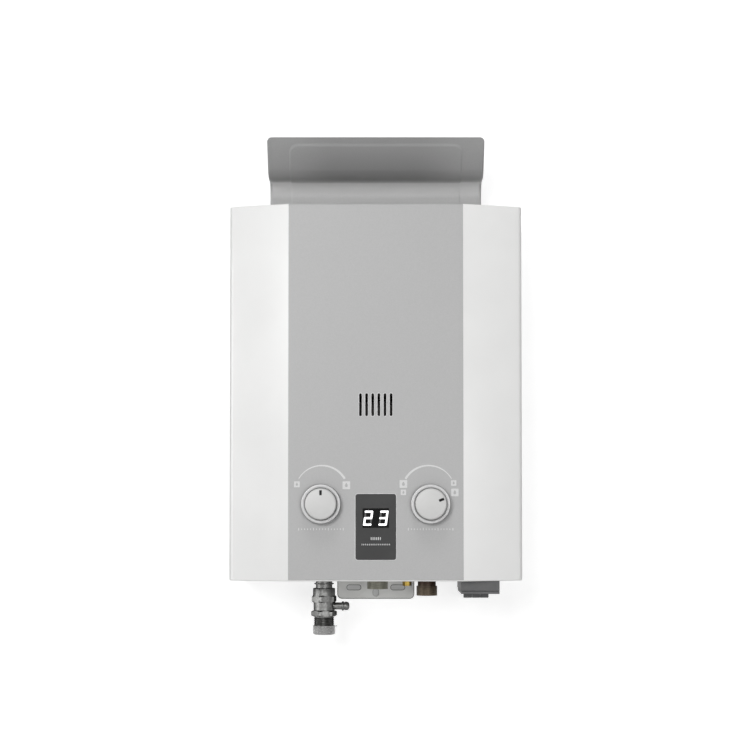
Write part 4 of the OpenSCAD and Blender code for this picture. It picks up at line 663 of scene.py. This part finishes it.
def makeHood():
    half = hood["width"] / 2
    bend = hood["sideBend"]
    corner = hood["lipCorner"]
    points, normals, left = hoodCurve()
    lipStart = hood["throat"][1] + hood["nose"] * (1 - math.sin(math.radians(hood["lean"])))
    columns = {-half + 2 * half * i / hood["columns"] for i in range(hood["columns"] + 1)}
    fieldStep, *fieldRange = hood["fieldColumns"]
    sideStep, *sideRange = hood["sideColumns"]
    for side in (-1, 1):
        columns |= {side * (hood["fieldWidth"] / 2 + d * fieldStep) for d in range(*fieldRange)}
        columns |= {side * (half - d * sideStep) for d in range(*sideRange)}
    columns = sorted(columns)
    rows = []
    for p, n, away in zip(points, normals, left):
        row = []
        for x in columns:
            y, z = p
            if z > lipStart and abs(x) > half - corner:
                top = hood["lip"][1] - corner + math.sqrt(max(0, corner ** 2 - (abs(x) - half + corner) ** 2))
                z = lipStart + (z - lipStart) * (top - lipStart) / (hood["lip"][1] - lipStart)
            qx = abs(x) - hood["fieldWidth"] / 2 + hood["fieldCorner"]
            qt = hood["fieldDrop"] - away + hood["fieldCorner"]
            outside = min(max(qx, qt), 0) + math.hypot(max(qx, 0), max(qt, 0)) - hood["fieldCorner"]
            step = min(1, max(0, 0.5 - outside / hood["fieldEdge"]))
            lift = hood["fieldHeight"] * step * step * (3 - 2 * step)
            over = abs(x) - (half - bend)
            if over > 0:
                lift -= bend - math.sqrt(max(0, bend ** 2 - over ** 2))
            row.append((x, y + n.x * lift, z + n.y * lift))
        rows.append(row)
    bm = bmesh.new()
    skin = addGrid(bm, rows)
    skin[0].normal_update()
    if skin[0].normal.y > 0:
        for face in skin:
            face.normal_flip()
    side = [tuple(p - n * bend) for p, n in zip(points, normals) if p.y < hood["sideTop"]]
    atTop = hood["lip"][0] + (hood["lip"][1] - hood["sideTop"]) * math.tan(math.radians(hood["lean"])) + bend
    side += [(atTop, hood["sideTop"]), (hood["back"], hood["sideTop"]), (hood["back"], hood["foot"][1])]
    for sx in (-1, 1):
        addPanel(bm, [side], lambda y, z, sx=sx: (sx * half, y, z), (sx, 0, 0))
    wall = [[(x, hood["back"], z) for x in (-half, half)] for z in (hood["foot"][1], hood["sideTop"])]
    faceTowards(addGrid(bm, wall), (0, 1, 0))
    near, rear = hood["foot"][0], hood["back"]
    ring = rectangle(half + hood["flange"], near - hood["flange"], rear + hood["flangeRear"])
    hole = rectangle(half - hood["sheet"], near + hood["holeNear"], rear)
    addPanel(bm, [ring, hole], lambda x, y: (x, y, hood["foot"][1] + hood["sheet"]), (0, 0, 1))
    finishPiece("flueHood", bm, hoodEnamel, "hood_paint", ["flue_hood"], sheet=hood["sheet"], sharp=50)


makeHood()
print("flue hood made")


# knobs
knob = {
    "pitch": 107.2, "height": 75.6, "face": -130, "waterTurn": 68,
    "grip": [(4.2, 0.6), (19.1, 0.6), (19.5, 1.0), (19.5, 7.2), (19.4, 7.65), (19.1, 7.95), (18.6, 7.95),
             (4.2, 2.9)],
    "ring": [(18.9, 7.6), (19.12, 7.9), (19.0, 8.1), (18.4, 8.2), (16.5, 8.2), (16.1, 8.05), (15.8, 7.7),
             (15.8, 3.0), (17.0, 3.0)],
    "cap": [(0, 15.5), (13.8, 15.5), (14.4, 15.38), (14.9, 15.05), (15.2, 14.55), (15.3, 14.0), (15.3, 3.3),
            (0, 3.3)],
    "pointer": (8.4, 13.5, 2.5, 0.04, 0.4),
}


def makeKnob(side, body, prefix, turn):
    place = (side * knob["pitch"] / 2, knob["face"], knob["height"])
    for name, profile, mat, slotName, nodes, closed, sharp in (
            ("KnobRim", "ring", chromeRim, "knob_chrome", [body + "_ring"], True, 60),
            ("KnobGrip", "grip", gripChrome, "knob_chrome", [], True, 60),
            ("KnobCap", "cap", spunFace, "knob_satin", [body + "_cap"], False, 40)):
        bm = turnedForm(knob[profile], segments=128, closed=closed)
        bmesh.ops.rotate(bm, matrix=towardsFront, verts=bm.verts)
        finishPiece(prefix + name, bm, mat, slotName, nodes, place, sharp, body=body)
    inner, outer, width, proud, corner = knob["pointer"]
    bm = bmesh.new()
    outline = roundRect(0, (inner + outer) / 2, width, outer - inner, corner, 3)
    addPlate(bm, outline, -knob["cap"][0][1] - proud)
    turnOutwards(bm)
    bmesh.ops.rotate(bm, matrix=Matrix.Rotation(math.radians(turn), 3, "Y"), verts=bm.verts)
    finishPiece(prefix + "KnobPointer", bm, blackFill, "knob_satin", place=place, body=body)


makeKnob(-1, "gas_knob", "gas", 0)
makeKnob(1, "water_knob", "water", knob["waterTurn"])
print("knobs made")


# display
display = {
    "width": 39.7, "height": 64.4, "middle": 53.2, "face": -130.6, "thick": 1.6, "corner": 2.4, "edge": 0.5,
    "window": (25.9, 19.1, 61.8, 0.4), "rimWidth": 0.8, "rimProud": 0.25,
    "digitHeight": 14.6, "digitWidth": 8.2, "stroke": 1.95, "strokeEnd": 0.48, "digitPitch": 15.0,
    "slant": 7.6, "digitsFace": -130.35, "uprightBehind": 0.02,
    "darkBehind": 0.08, "darkThin": 0.82, "darkShorter": 2.4,
}


def makeDisplay():
    w, h, zc = display["width"], display["height"], display["middle"]
    edge = display["edge"]
    winW, winH, winZ, winCorner = display["window"]
    bm = bmesh.new()
    outer = roundRect(0, zc, w - 2 * edge, h - 2 * edge, display["corner"] - edge, 8)
    hole = roundRect(0, winZ, winW, winH, winCorner, 3)
    addPanel(bm, [outer, hole], lambda x, z: (x, display["face"], z), (0, -1, 0))
    rows = []
    for inset, back in quarterTurn(edge, 4):
        loop = roundRect(0, zc, w - 2 * inset, h - 2 * inset, display["corner"] - inset, 8)
        rows.append([(x, display["face"] + back, z) for x, z in loop + loop[:1]])
    rear = display["face"] + display["thick"]
    rows.append([(x, rear, z) for x, y, z in rows[-1]])
    addGrid(bm, rows)
    addGrid(bm, [[(x, y, z) for x, z in hole + hole[:1]] for y in (display["face"], rear)])
    outer = roundRect(0, zc, w, h, display["corner"], 8)
    addPanel(bm, [outer, hole], lambda x, z: (x, rear, z), (0, 1, 0))
    bmesh.ops.remove_doubles(bm, verts=bm.verts, dist=weldGap)
    turnOutwards(bm)
    finishPiece("displayPlate", bm, displayPlate, "display_plate", ["display_bezel"])

    bm = bmesh.new()
    addBead(bm, facia["front"], 0, zc, w, h, display["corner"], display["rimWidth"], display["rimProud"])
    turnOutwards(bm)
    finishPiece("displayRim", bm, brightEdge, "silver_paint")


# Middle and length of each segment of a digit, and whether it is upright
def segmentPlaces():
    w = display["digitWidth"] - display["stroke"]
    h = display["digitHeight"] - display["stroke"]
    return {"top": (0, h / 2, w, False), "upperLeft": (-w / 2, h / 4, h / 2, True),
            "upperRight": (w / 2, h / 4, h / 2, True), "middle": (0, 0, w, False),
            "lowerLeft": (-w / 2, -h / 4, h / 2, True), "lowerRight": (w / 2, -h / 4, h / 2, True),
            "bottom": (0, -h / 2, w, False)}


def makeDigits():
    lean = math.tan(math.radians(display["slant"]))
    zc = display["window"][2]
    places = segmentPlaces()
    stroke = display["stroke"]
    two = ("top", "upperRight", "middle", "lowerLeft", "bottom")
    three = ("top", "upperRight", "middle", "lowerRight", "bottom")
    unlit = (("lowerRight", "upperLeft"), ("lowerLeft", "upperLeft"))
    sets = (("litDigits", (two, three), litLens, "lit_segment", ["display_digits"], 1.0, 0, 0),
            ("darkSegments", unlit, darkLens, "display_black", [],
             display["darkThin"], display["darkShorter"], display["darkBehind"]))
    for name, chosen, mat, slotName, nodes, thick, shorter, behind in sets:
        bm = bmesh.new()
        for side, segments in zip((-1, 1), chosen):
            for segment in segments:
                cx, cz, length, upright = places[segment]
                wide = stroke * thick
                longSide = length + stroke - shorter
                size = (wide, longSide) if upright else (longSide, wide)
                depth = display["digitsFace"] + upright * display["uprightBehind"] + behind
                loop = roundRect(cx, cz, size[0], size[1], wide * display["strokeEnd"], 5)
                spots = [(x + side * display["digitPitch"] / 2 + z * lean, zc + z) for x, z in loop]
                addPlate(bm, spots, depth)
        turnOutwards(bm)
        finishPiece(name, bm, mat, slotName, nodes)


makeDisplay()
makeDigits()
print("display made")


# print on the facia and the display
prints = {
    "proud": 0.03,
    "arcRadius": 26.0, "arcRise": 11.6, "arcReach": 60, "arcSteps": 40, "thin": 0.7, "thick": 2.2,
    # how far the arc's middle is from the knob's, then signs: x and z from the knob's middle and their width
    "gas": (0.7, ((-23.6, 19.2, 5.6), (24.8, 18.3, 7.5))),
    "water": (-2.0, ((-26.6, 19.6, 7.5), (-26.6, 11.4, 5.2), (22.6, 20.5, 5.3), (23.7, 11.3, 7.3))),
    "signTall": 1.03, "signCorner": 0.5, "dropSize": 0.5,
    "tickCount": 16, "tickPitch": 2.9, "tickDrop": 24.6, "tickSize": (0.7, 2.6), "tickCorner": 0.3,
    "longEvery": 5, "shortTick": 0.6,
    # count, pitch, height of the row, then a tick's width and height
    "plateTicks": ((6, 1.8, 41.8, 0.8, 2.8), (16, 1.8, 36.0, 0.7, 1.6)),
    # half width, the least share of it, half height and rise, in shares of the drop's size
    "drop": (0.5, 0.35, 0.55, 0.05),
}


def flatLoop(bm, loops, depth):
    addPanel(bm, loops, lambda x, z: (x, depth, z), (0, -1, 0))


# A drop or flame: a round foot that runs up to a point
def dropLoop(cx, cz, size, steps=24):
    half, least, tall, rise = prints["drop"]
    loop = []
    for i in range(steps):
        a = 2 * math.pi * i / steps
        pull = least + (1 - least) * (1 - math.cos(a)) / 2
        loop.append((cx + size * half * math.sin(a) * pull, cz + size * (tall * math.cos(a) + rise)))
    return loop


def addArc(bm, middle, low, depth, side):
    outer, inner = [], []
    for i in range(prints["arcSteps"] + 1):
        u = i / prints["arcSteps"]
        a = math.radians(90 + prints["arcReach"] * (1 - 2 * u))
        wide = prints["thin"] + (prints["thick"] - prints["thin"]) * (u if side < 0 else 1 - u)
        for loop, r in ((outer, prints["arcRadius"] + wide / 2), (inner, prints["arcRadius"] - wide / 2)):
            loop.append((middle + r * math.cos(a), depth, low + r * math.sin(a)))
    band = addGrid(bm, [outer, inner])
    faceTowards(band, (0, -1, 0))
    for face in band:
        face.smooth = False


def makePrints():
    depth = facia["front"] - prints["proud"]
    corner = prints["tickCorner"]
    bm = bmesh.new()
    for side, (arcShift, signs) in ((-1, prints["gas"]), (1, prints["water"])):
        kx, kz = side * knob["pitch"] / 2, knob["height"]
        addArc(bm, kx + arcShift, kz + prints["arcRise"], depth, side)
        for sx, sz, size in signs:
            square = roundRect(kx + sx, kz + sz, size, size * prints["signTall"], prints["signCorner"], 3)
            flatLoop(bm, [square, dropLoop(kx + sx, kz + sz, size * prints["dropSize"])], depth)
        wide, tall = prints["tickSize"]
        for i, at in enumerate(evenRow(prints["tickCount"], prints["tickPitch"])):
            high = tall if i % prints["longEvery"] == 0 else tall * prints["shortTick"]
            flatLoop(bm, [roundRect(kx + at, kz - prints["tickDrop"], wide, high, corner, 3)], depth)
    finishPiece("faciaPrint", bm, paleInk, "silver_paint", sheet=prints["proud"] * 2)
    bm = bmesh.new()
    depth = display["face"] - prints["proud"]
    for count, pitch, height, wide, tall in prints["plateTicks"]:
        for at in evenRow(count, pitch):
            flatLoop(bm, [roundRect(at, height, wide, tall, corner, 3)], depth)
    finishPiece("displayPrint", bm, paleInk, "display_plate", sheet=prints["proud"] * 2)


makePrints()
print("prints made")


# hot outlet
outlet = {
    "x": -52.5, "y": -62, "spoutHeight": -27.9,
    "stub": [(7.0, 5.2), (8.25, 5.2), (8.25, -4.4), (9.6, -4.6), (9.9, -4.9), (9.9, -5.6), (9.6, -5.9),
             (8.25, -6.1), (8.25, -11.4), (7.0, -11.4)],
    "nutRound": [(8.6, -9.7), (10.6, -9.7), (11.0, -9.9), (11.2, -10.4), (11.2, -17.2), (10.9, -17.6),
                 (8.6, -17.6)],
    "nutHex": [(8.6, -17.0), (11.6, -17.3), (13.4, -18.3), (13.4, -23.0), (11.7, -24.1), (8.6, -24.1)],
    "nutFlats": 23.0, "nutTurn": 20,
    "teeBody": [(7.0, -23.8), (10.3, -23.9), (10.6, -24.3), (10.6, -32.0), (10.2, -32.6), (7.0, -32.6)],
    "teeHex": [(7.0, -32.4), (11.6, -32.6), (13.4, -33.5), (13.4, -37.2), (11.7, -38.2), (7.0, -38.2)],
    "teeTurn": 10,
    # radius, depth, lower and upper end, pitch, bore
    "thread": (10.45, 1.05, -55.2, -38.0, 1.814, 7.0),
    "spout": [(0, 0), (4.3, 9.6), (4.3, 10.4), (3.6, 10.8), (3.6, 18.0), (0, 18.0)],
    "screw": [(0, 16.5), (3.4, 16.5), (3.4, 17.9), (4.5, 18.1), (4.75, 18.5), (4.75, 19.6), (4.5, 19.95),
              (3.75, 20.2), (3.75, 20.9), (4.25, 21.1), (4.35, 21.6), (4.3, 22.9), (4.0, 24.0), (3.3, 25.0),
              (2.2, 25.6), (0.9, 25.8), (0, 25.8)],
    "cap": [(10.6, -47.6), (11.15, -47.5), (11.45, -47.8), (11.45, -49.0), (11.3, -49.3), (11.4, -53.8),
            (11.2, -55.4), (10.5, -56.4), (9.4, -56.7), (0, -56.7), (0, -55.5), (9.2, -55.5), (10.2, -55.1),
            (10.55, -54.0)],
    # where the cap's tab starts and ends, its top, width and thickness
    "tab": (11.35, 13.6, -47.6, 2.4, 0.9),
}


def addHex(form, profile, turn):
    joinForm(form, turnedForm(outlet[profile], outlet["nutFlats"], outlet[turn], segments=144, closed=True))


def makeOutlet():
    place = (outlet["x"], outlet["y"], 0)
    stub = turnedForm(outlet["stub"], closed=True)
    nut = turnedForm(outlet["nutRound"], closed=True)
    addHex(nut, "nutHex", "nutTurn")
    tee = turnedForm(outlet["teeBody"], closed=True)
    addHex(tee, "teeHex", "teeTurn")
    joinForm(tee, threadForm(*outlet["thread"]))
    joinForm(tee, turnedForm(outlet["spout"], segments=48), (0, 0, outlet["spoutHeight"]), towardsRight)
    for name, form, node in (("outletStub", stub, "outlet_stub"), ("unionNut", nut, "union_nut"),
                             ("purgeTee", tee, "purge_tee")):
        finishPiece(name, form, nickelPlate, "nickel", [node], place, sharp=30)
    screw = turnedForm(outlet["screw"], segments=64)
    bmesh.ops.rotate(screw, matrix=towardsRight, verts=screw.verts)
    spoutPlace = (outlet["x"], outlet["y"], outlet["spoutHeight"])
    finishPiece("purgeScrew", screw, nickelPlate, "nickel", ["purge_screw"], spoutPlace, sharp=30,
                body="purge_screw")
    cap = turnedForm(outlet["cap"], closed=True)
    near, reach, high, wide, thick = outlet["tab"]
    end = arcPoints(reach - wide / 2, 0, wide / 2, -90, 90, 8)
    tab = bmesh.new()
    loop = [(near, -wide / 2)] + end + [(near, wide / 2)]
    addPlate(tab, loop, high - thick, thick, lambda x, z, y: (x, y, z))
    turnOutwards(tab)
    joinForm(cap, tab)
    finishPiece("threadCap", cap, polythene, "polythene", ["thread_cap"], place, sharp=40,
                body="thread_cap")


makeOutlet()
print("hot outlet made")


# threads on the inlets: x, y, material, slot and the thread's sizes
inletThreads = {
    "gasInletThread": (1.8, -62, dieCast, "die_cast", (10.6, 0.45, -10.4, -0.6, 1.814, 9.0)),
    "coldInletThread": (51.8, -62, rawBrass, "brass", (10.6, 0.55, -17.1, -7.7, 1.814, 9.0)),
}


def makeInletThreads():
    for name, (x, y, mat, slotName, sizes) in inletThreads.items():
        finishPiece(name, threadForm(*sizes), mat, slotName, place=(x, y, 0))


makeInletThreads()
print("inlet threads made")


# finishes of the parts that keep their drawn shape
nodeFinish = (
    (zincSheet, ("back_plate", "service_shelf", "flue_collector", "chamber_brackets", "valve_bracket",
                 "electrode_brackets")),
    # Painted shade: the parts seen through the slots are painted dark
    (paintedShadeSheet, ("burner_frame", "combustion_chamber")),
    (screwSteel, ("casing_screws", "diaphragm_screws", "hinge_pin")),
    (tinnedCopper, ("chamber_coil", "exchanger_fins", "fin_tubes")),
    (copper, ("cold_pipe", "hot_pipe")),
    (stainless, ("burner_bars", "solenoid_plunger", "electrode_rods")),
    (dieCast, ("gas_manifold", "gas_riser", "gas_valve_body", "gas_inlet_stub")),
    (turnedBrass, ("injectors", "push_rod", "drain_plug", "temperature_sensor", "gas_spindle",
                   "water_spindle")),
    (rawBrass, ("water_valve_body", "diaphragm_cover")),
    (blackNylon, ("solenoid_coil", "micro_switch", "overheat_switch")),
    (greyAbs, ("control_box", "control_box_lid", "battery_box", "battery_lid")),
    (greenBoard, ("control_board", "display_board")),
    (whiteCeramic, ("electrode_insulators",)),
    (redVinyl, ("switch_button", "wiring_leads")),
    (blackRubber, ("diaphragm",)),
    (smokedAcrylic, ("display_module",)),
    (cellCan, ("battery_cells",)),
)
softEdges = {"battery_box": 0.7, "battery_lid": 0.7, "back_plate": 0.3, "drain_plug": 0.3,
             "casing_screws": 0.3}
softening = {"weld": 1e-5, "segments": 3, "angle": 40}


def softenEdges(node, width):
    weld = node.modifiers.new("weld", "WELD")
    weld.merge_threshold = softening["weld"]
    bevel = node.modifiers.new("bevel", "BEVEL")
    bevel.width = width * mm
    bevel.segments = softening["segments"]
    bevel.limit_method = "ANGLE"
    bevel.angle_limit = math.radians(softening["angle"])


def finishNodes():
    for mat, names in nodeFinish:
        for name in names:
            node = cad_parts[name]
            node.data.materials.clear()
            node.data.materials.append(mat)
            if name in softEdges:
                softenEdges(node, softEdges[name])


finishNodes()
print("drawn parts finished:", sum(len(names) for mat, names in nodeFinish))


# floor, wall, world and lamps
studio = {
    "floorHeight": -0.32, "floorSize": 12.0, "cardGlow": 0.66, "worldLight": 0.18,
    "cardColour": "#C8C8C8", "cardPatch": 40, "cardPatches": ("#C6C6C6", "#CACACA"),
    "cardRough": (0.85, 0.95),
    "wallBehind": 0.004, "wallWidth": 4.0, "wallTop": 2.6,
    # half width, distance behind, bottom and top
    "strip": (0.034, 0.0015, -0.0222, -0.005), "stripGlow": 0.05,
    # place, aimed at, width and height in metres, watts
    "key": ((-0.75, -2.6, 0.75), (0, -0.1, 0.25), (1.0, 0.8), 27.5),
    "top": ((-0.1, -1.2, 2.1), (0, -0.1, 0.3), (0.9, 0.6), 10.5),
    "rear": ((0.9, 2.4, 1.3), (0, -0.05, 0.2), (1.0, 0.8), 24),
    "fill": ((0.7, -2.6, 0.02), (0, -0.1, 0.1), (1.2, 0.5), 10.5),
    "side": ((-2.0, -0.8, 0.25), (-0.14, -0.1, 0.2), (1.6, 1.2), 25),
}


def addLamp(name, place, target, size, watts):
    data = bpy.data.lights.new(name, "AREA")
    data.shape = "RECTANGLE"
    data.size, data.size_y = size
    data.energy = watts
    lamp = bpy.data.objects.new(name, data)
    lamp.location = place
    lamp.rotation_euler = (Vector(target) - Vector(place)).to_track_quat("-Z", "Y").to_euler()
    bpy.context.collection.objects.link(lamp)
    return lamp


def addCard(name, rows, card):
    bm = bmesh.new()
    addGrid(bm, rows)
    mesh = bpy.data.meshes.new(name)
    bm.to_mesh(mesh)
    bm.free()
    mesh.materials.append(card)
    stand = bpy.data.objects.new(name, mesh)
    bpy.context.collection.objects.link(stand)
    return stand


# 1 for what the camera sees, directly, through clear things or in mirrors
def seenFactor(holder):
    ray = addNode(holder, "LightPath", {}).outputs
    direct = worked(holder, "MAXIMUM", ray["Is Camera Ray"], ray["Is Transmission Ray"])
    return worked(holder, "MAXIMUM", direct, ray["Is Glossy Ray"])


# A stage card's paint with its glow: the light that the camera and mirrors see on top of its own takes it to
# white, and the shadow stays. A card that stands behind the object is clear from its back.
def cardPaint(name, strength):
    card = surface(name, studio["cardColour"], studio["cardPatch"], studio["cardPatches"],
                   studio["cardRough"])
    glow = addNode(card, "Math", {"operation": "MULTIPLY", 1: strength}, [(seenFactor(card), 0)])
    light = addNode(card, "Emission", {}, [(glow.outputs["Value"], "Strength")])
    both = addNode(card, "AddShader", {}, [(shaderOf(card).outputs[0], 0), (light.outputs[0], 1)])
    side = addNode(card, "NewGeometry", {})
    clear = addNode(card, "BsdfTransparent", {})
    oneSided = addNode(card, "MixShader", {},
                       [(side.outputs["Backfacing"], 0), (both.outputs[0], 1), (clear.outputs[0], 2)])
    card.node_tree.links.new(oneSided.outputs[0], card.node_tree.nodes["Material Output"].inputs["Surface"])
    return card


def makeCards():
    card = cardPaint("cardPale", studio["cardGlow"])
    half, low = studio["floorSize"] / 2, studio["floorHeight"]
    addCard("floor", [[(x, y, low) for x in (-half, half)] for y in (-half, half)], card)
    half, back = studio["wallWidth"] / 2, studio["wallBehind"]
    wall = addCard("wall", [[(x, back, z) for x in (-half, half)] for z in (low, studio["wallTop"])], card)
    # The wall just behind the tab's slots, in the casing's shade
    half, back, bottom, top = studio["strip"]
    shaded = cardPaint("cardPaleShaded", studio["stripGlow"])
    strip = addCard("wallStrip", [[(x, back, z) for x in (-half, half)] for z in (bottom, top)], shaded)
    # The wall takes the object's shadow; it casts none itself and gives no light back
    for stand in (wall, strip):
        stand.visible_shadow = False
        stand.visible_diffuse = False


def makeWorld():
    world = bpy.data.worlds.new("studio")
    bpy.context.scene.world = world
    world.use_nodes = True
    nodes, links = world.node_tree.nodes, world.node_tree.links
    sky = nodes["Background"]
    sky.inputs["Strength"].default_value = studio["worldLight"]
    sky.inputs["Color"].default_value = (1, 1, 1, 1)
    white = addNode(world, "Background", {"Color": (1, 1, 1, 1), "Strength": 1.0})
    mix = addNode(world, "MixShader", {},
                  [(seenFactor(world), 0), (sky.outputs[0], 1), (white.outputs[0], 2)])
    links.new(mix.outputs[0], nodes["World Output"].inputs["Surface"])


makeCards()
makeWorld()
for name in ("key", "top", "rear", "fill"):
    addLamp(name, *studio[name])
# Gives shine only, for the light line on the casing's left fold
addLamp("side", *studio["side"]).visible_diffuse = False
print("studio lit")
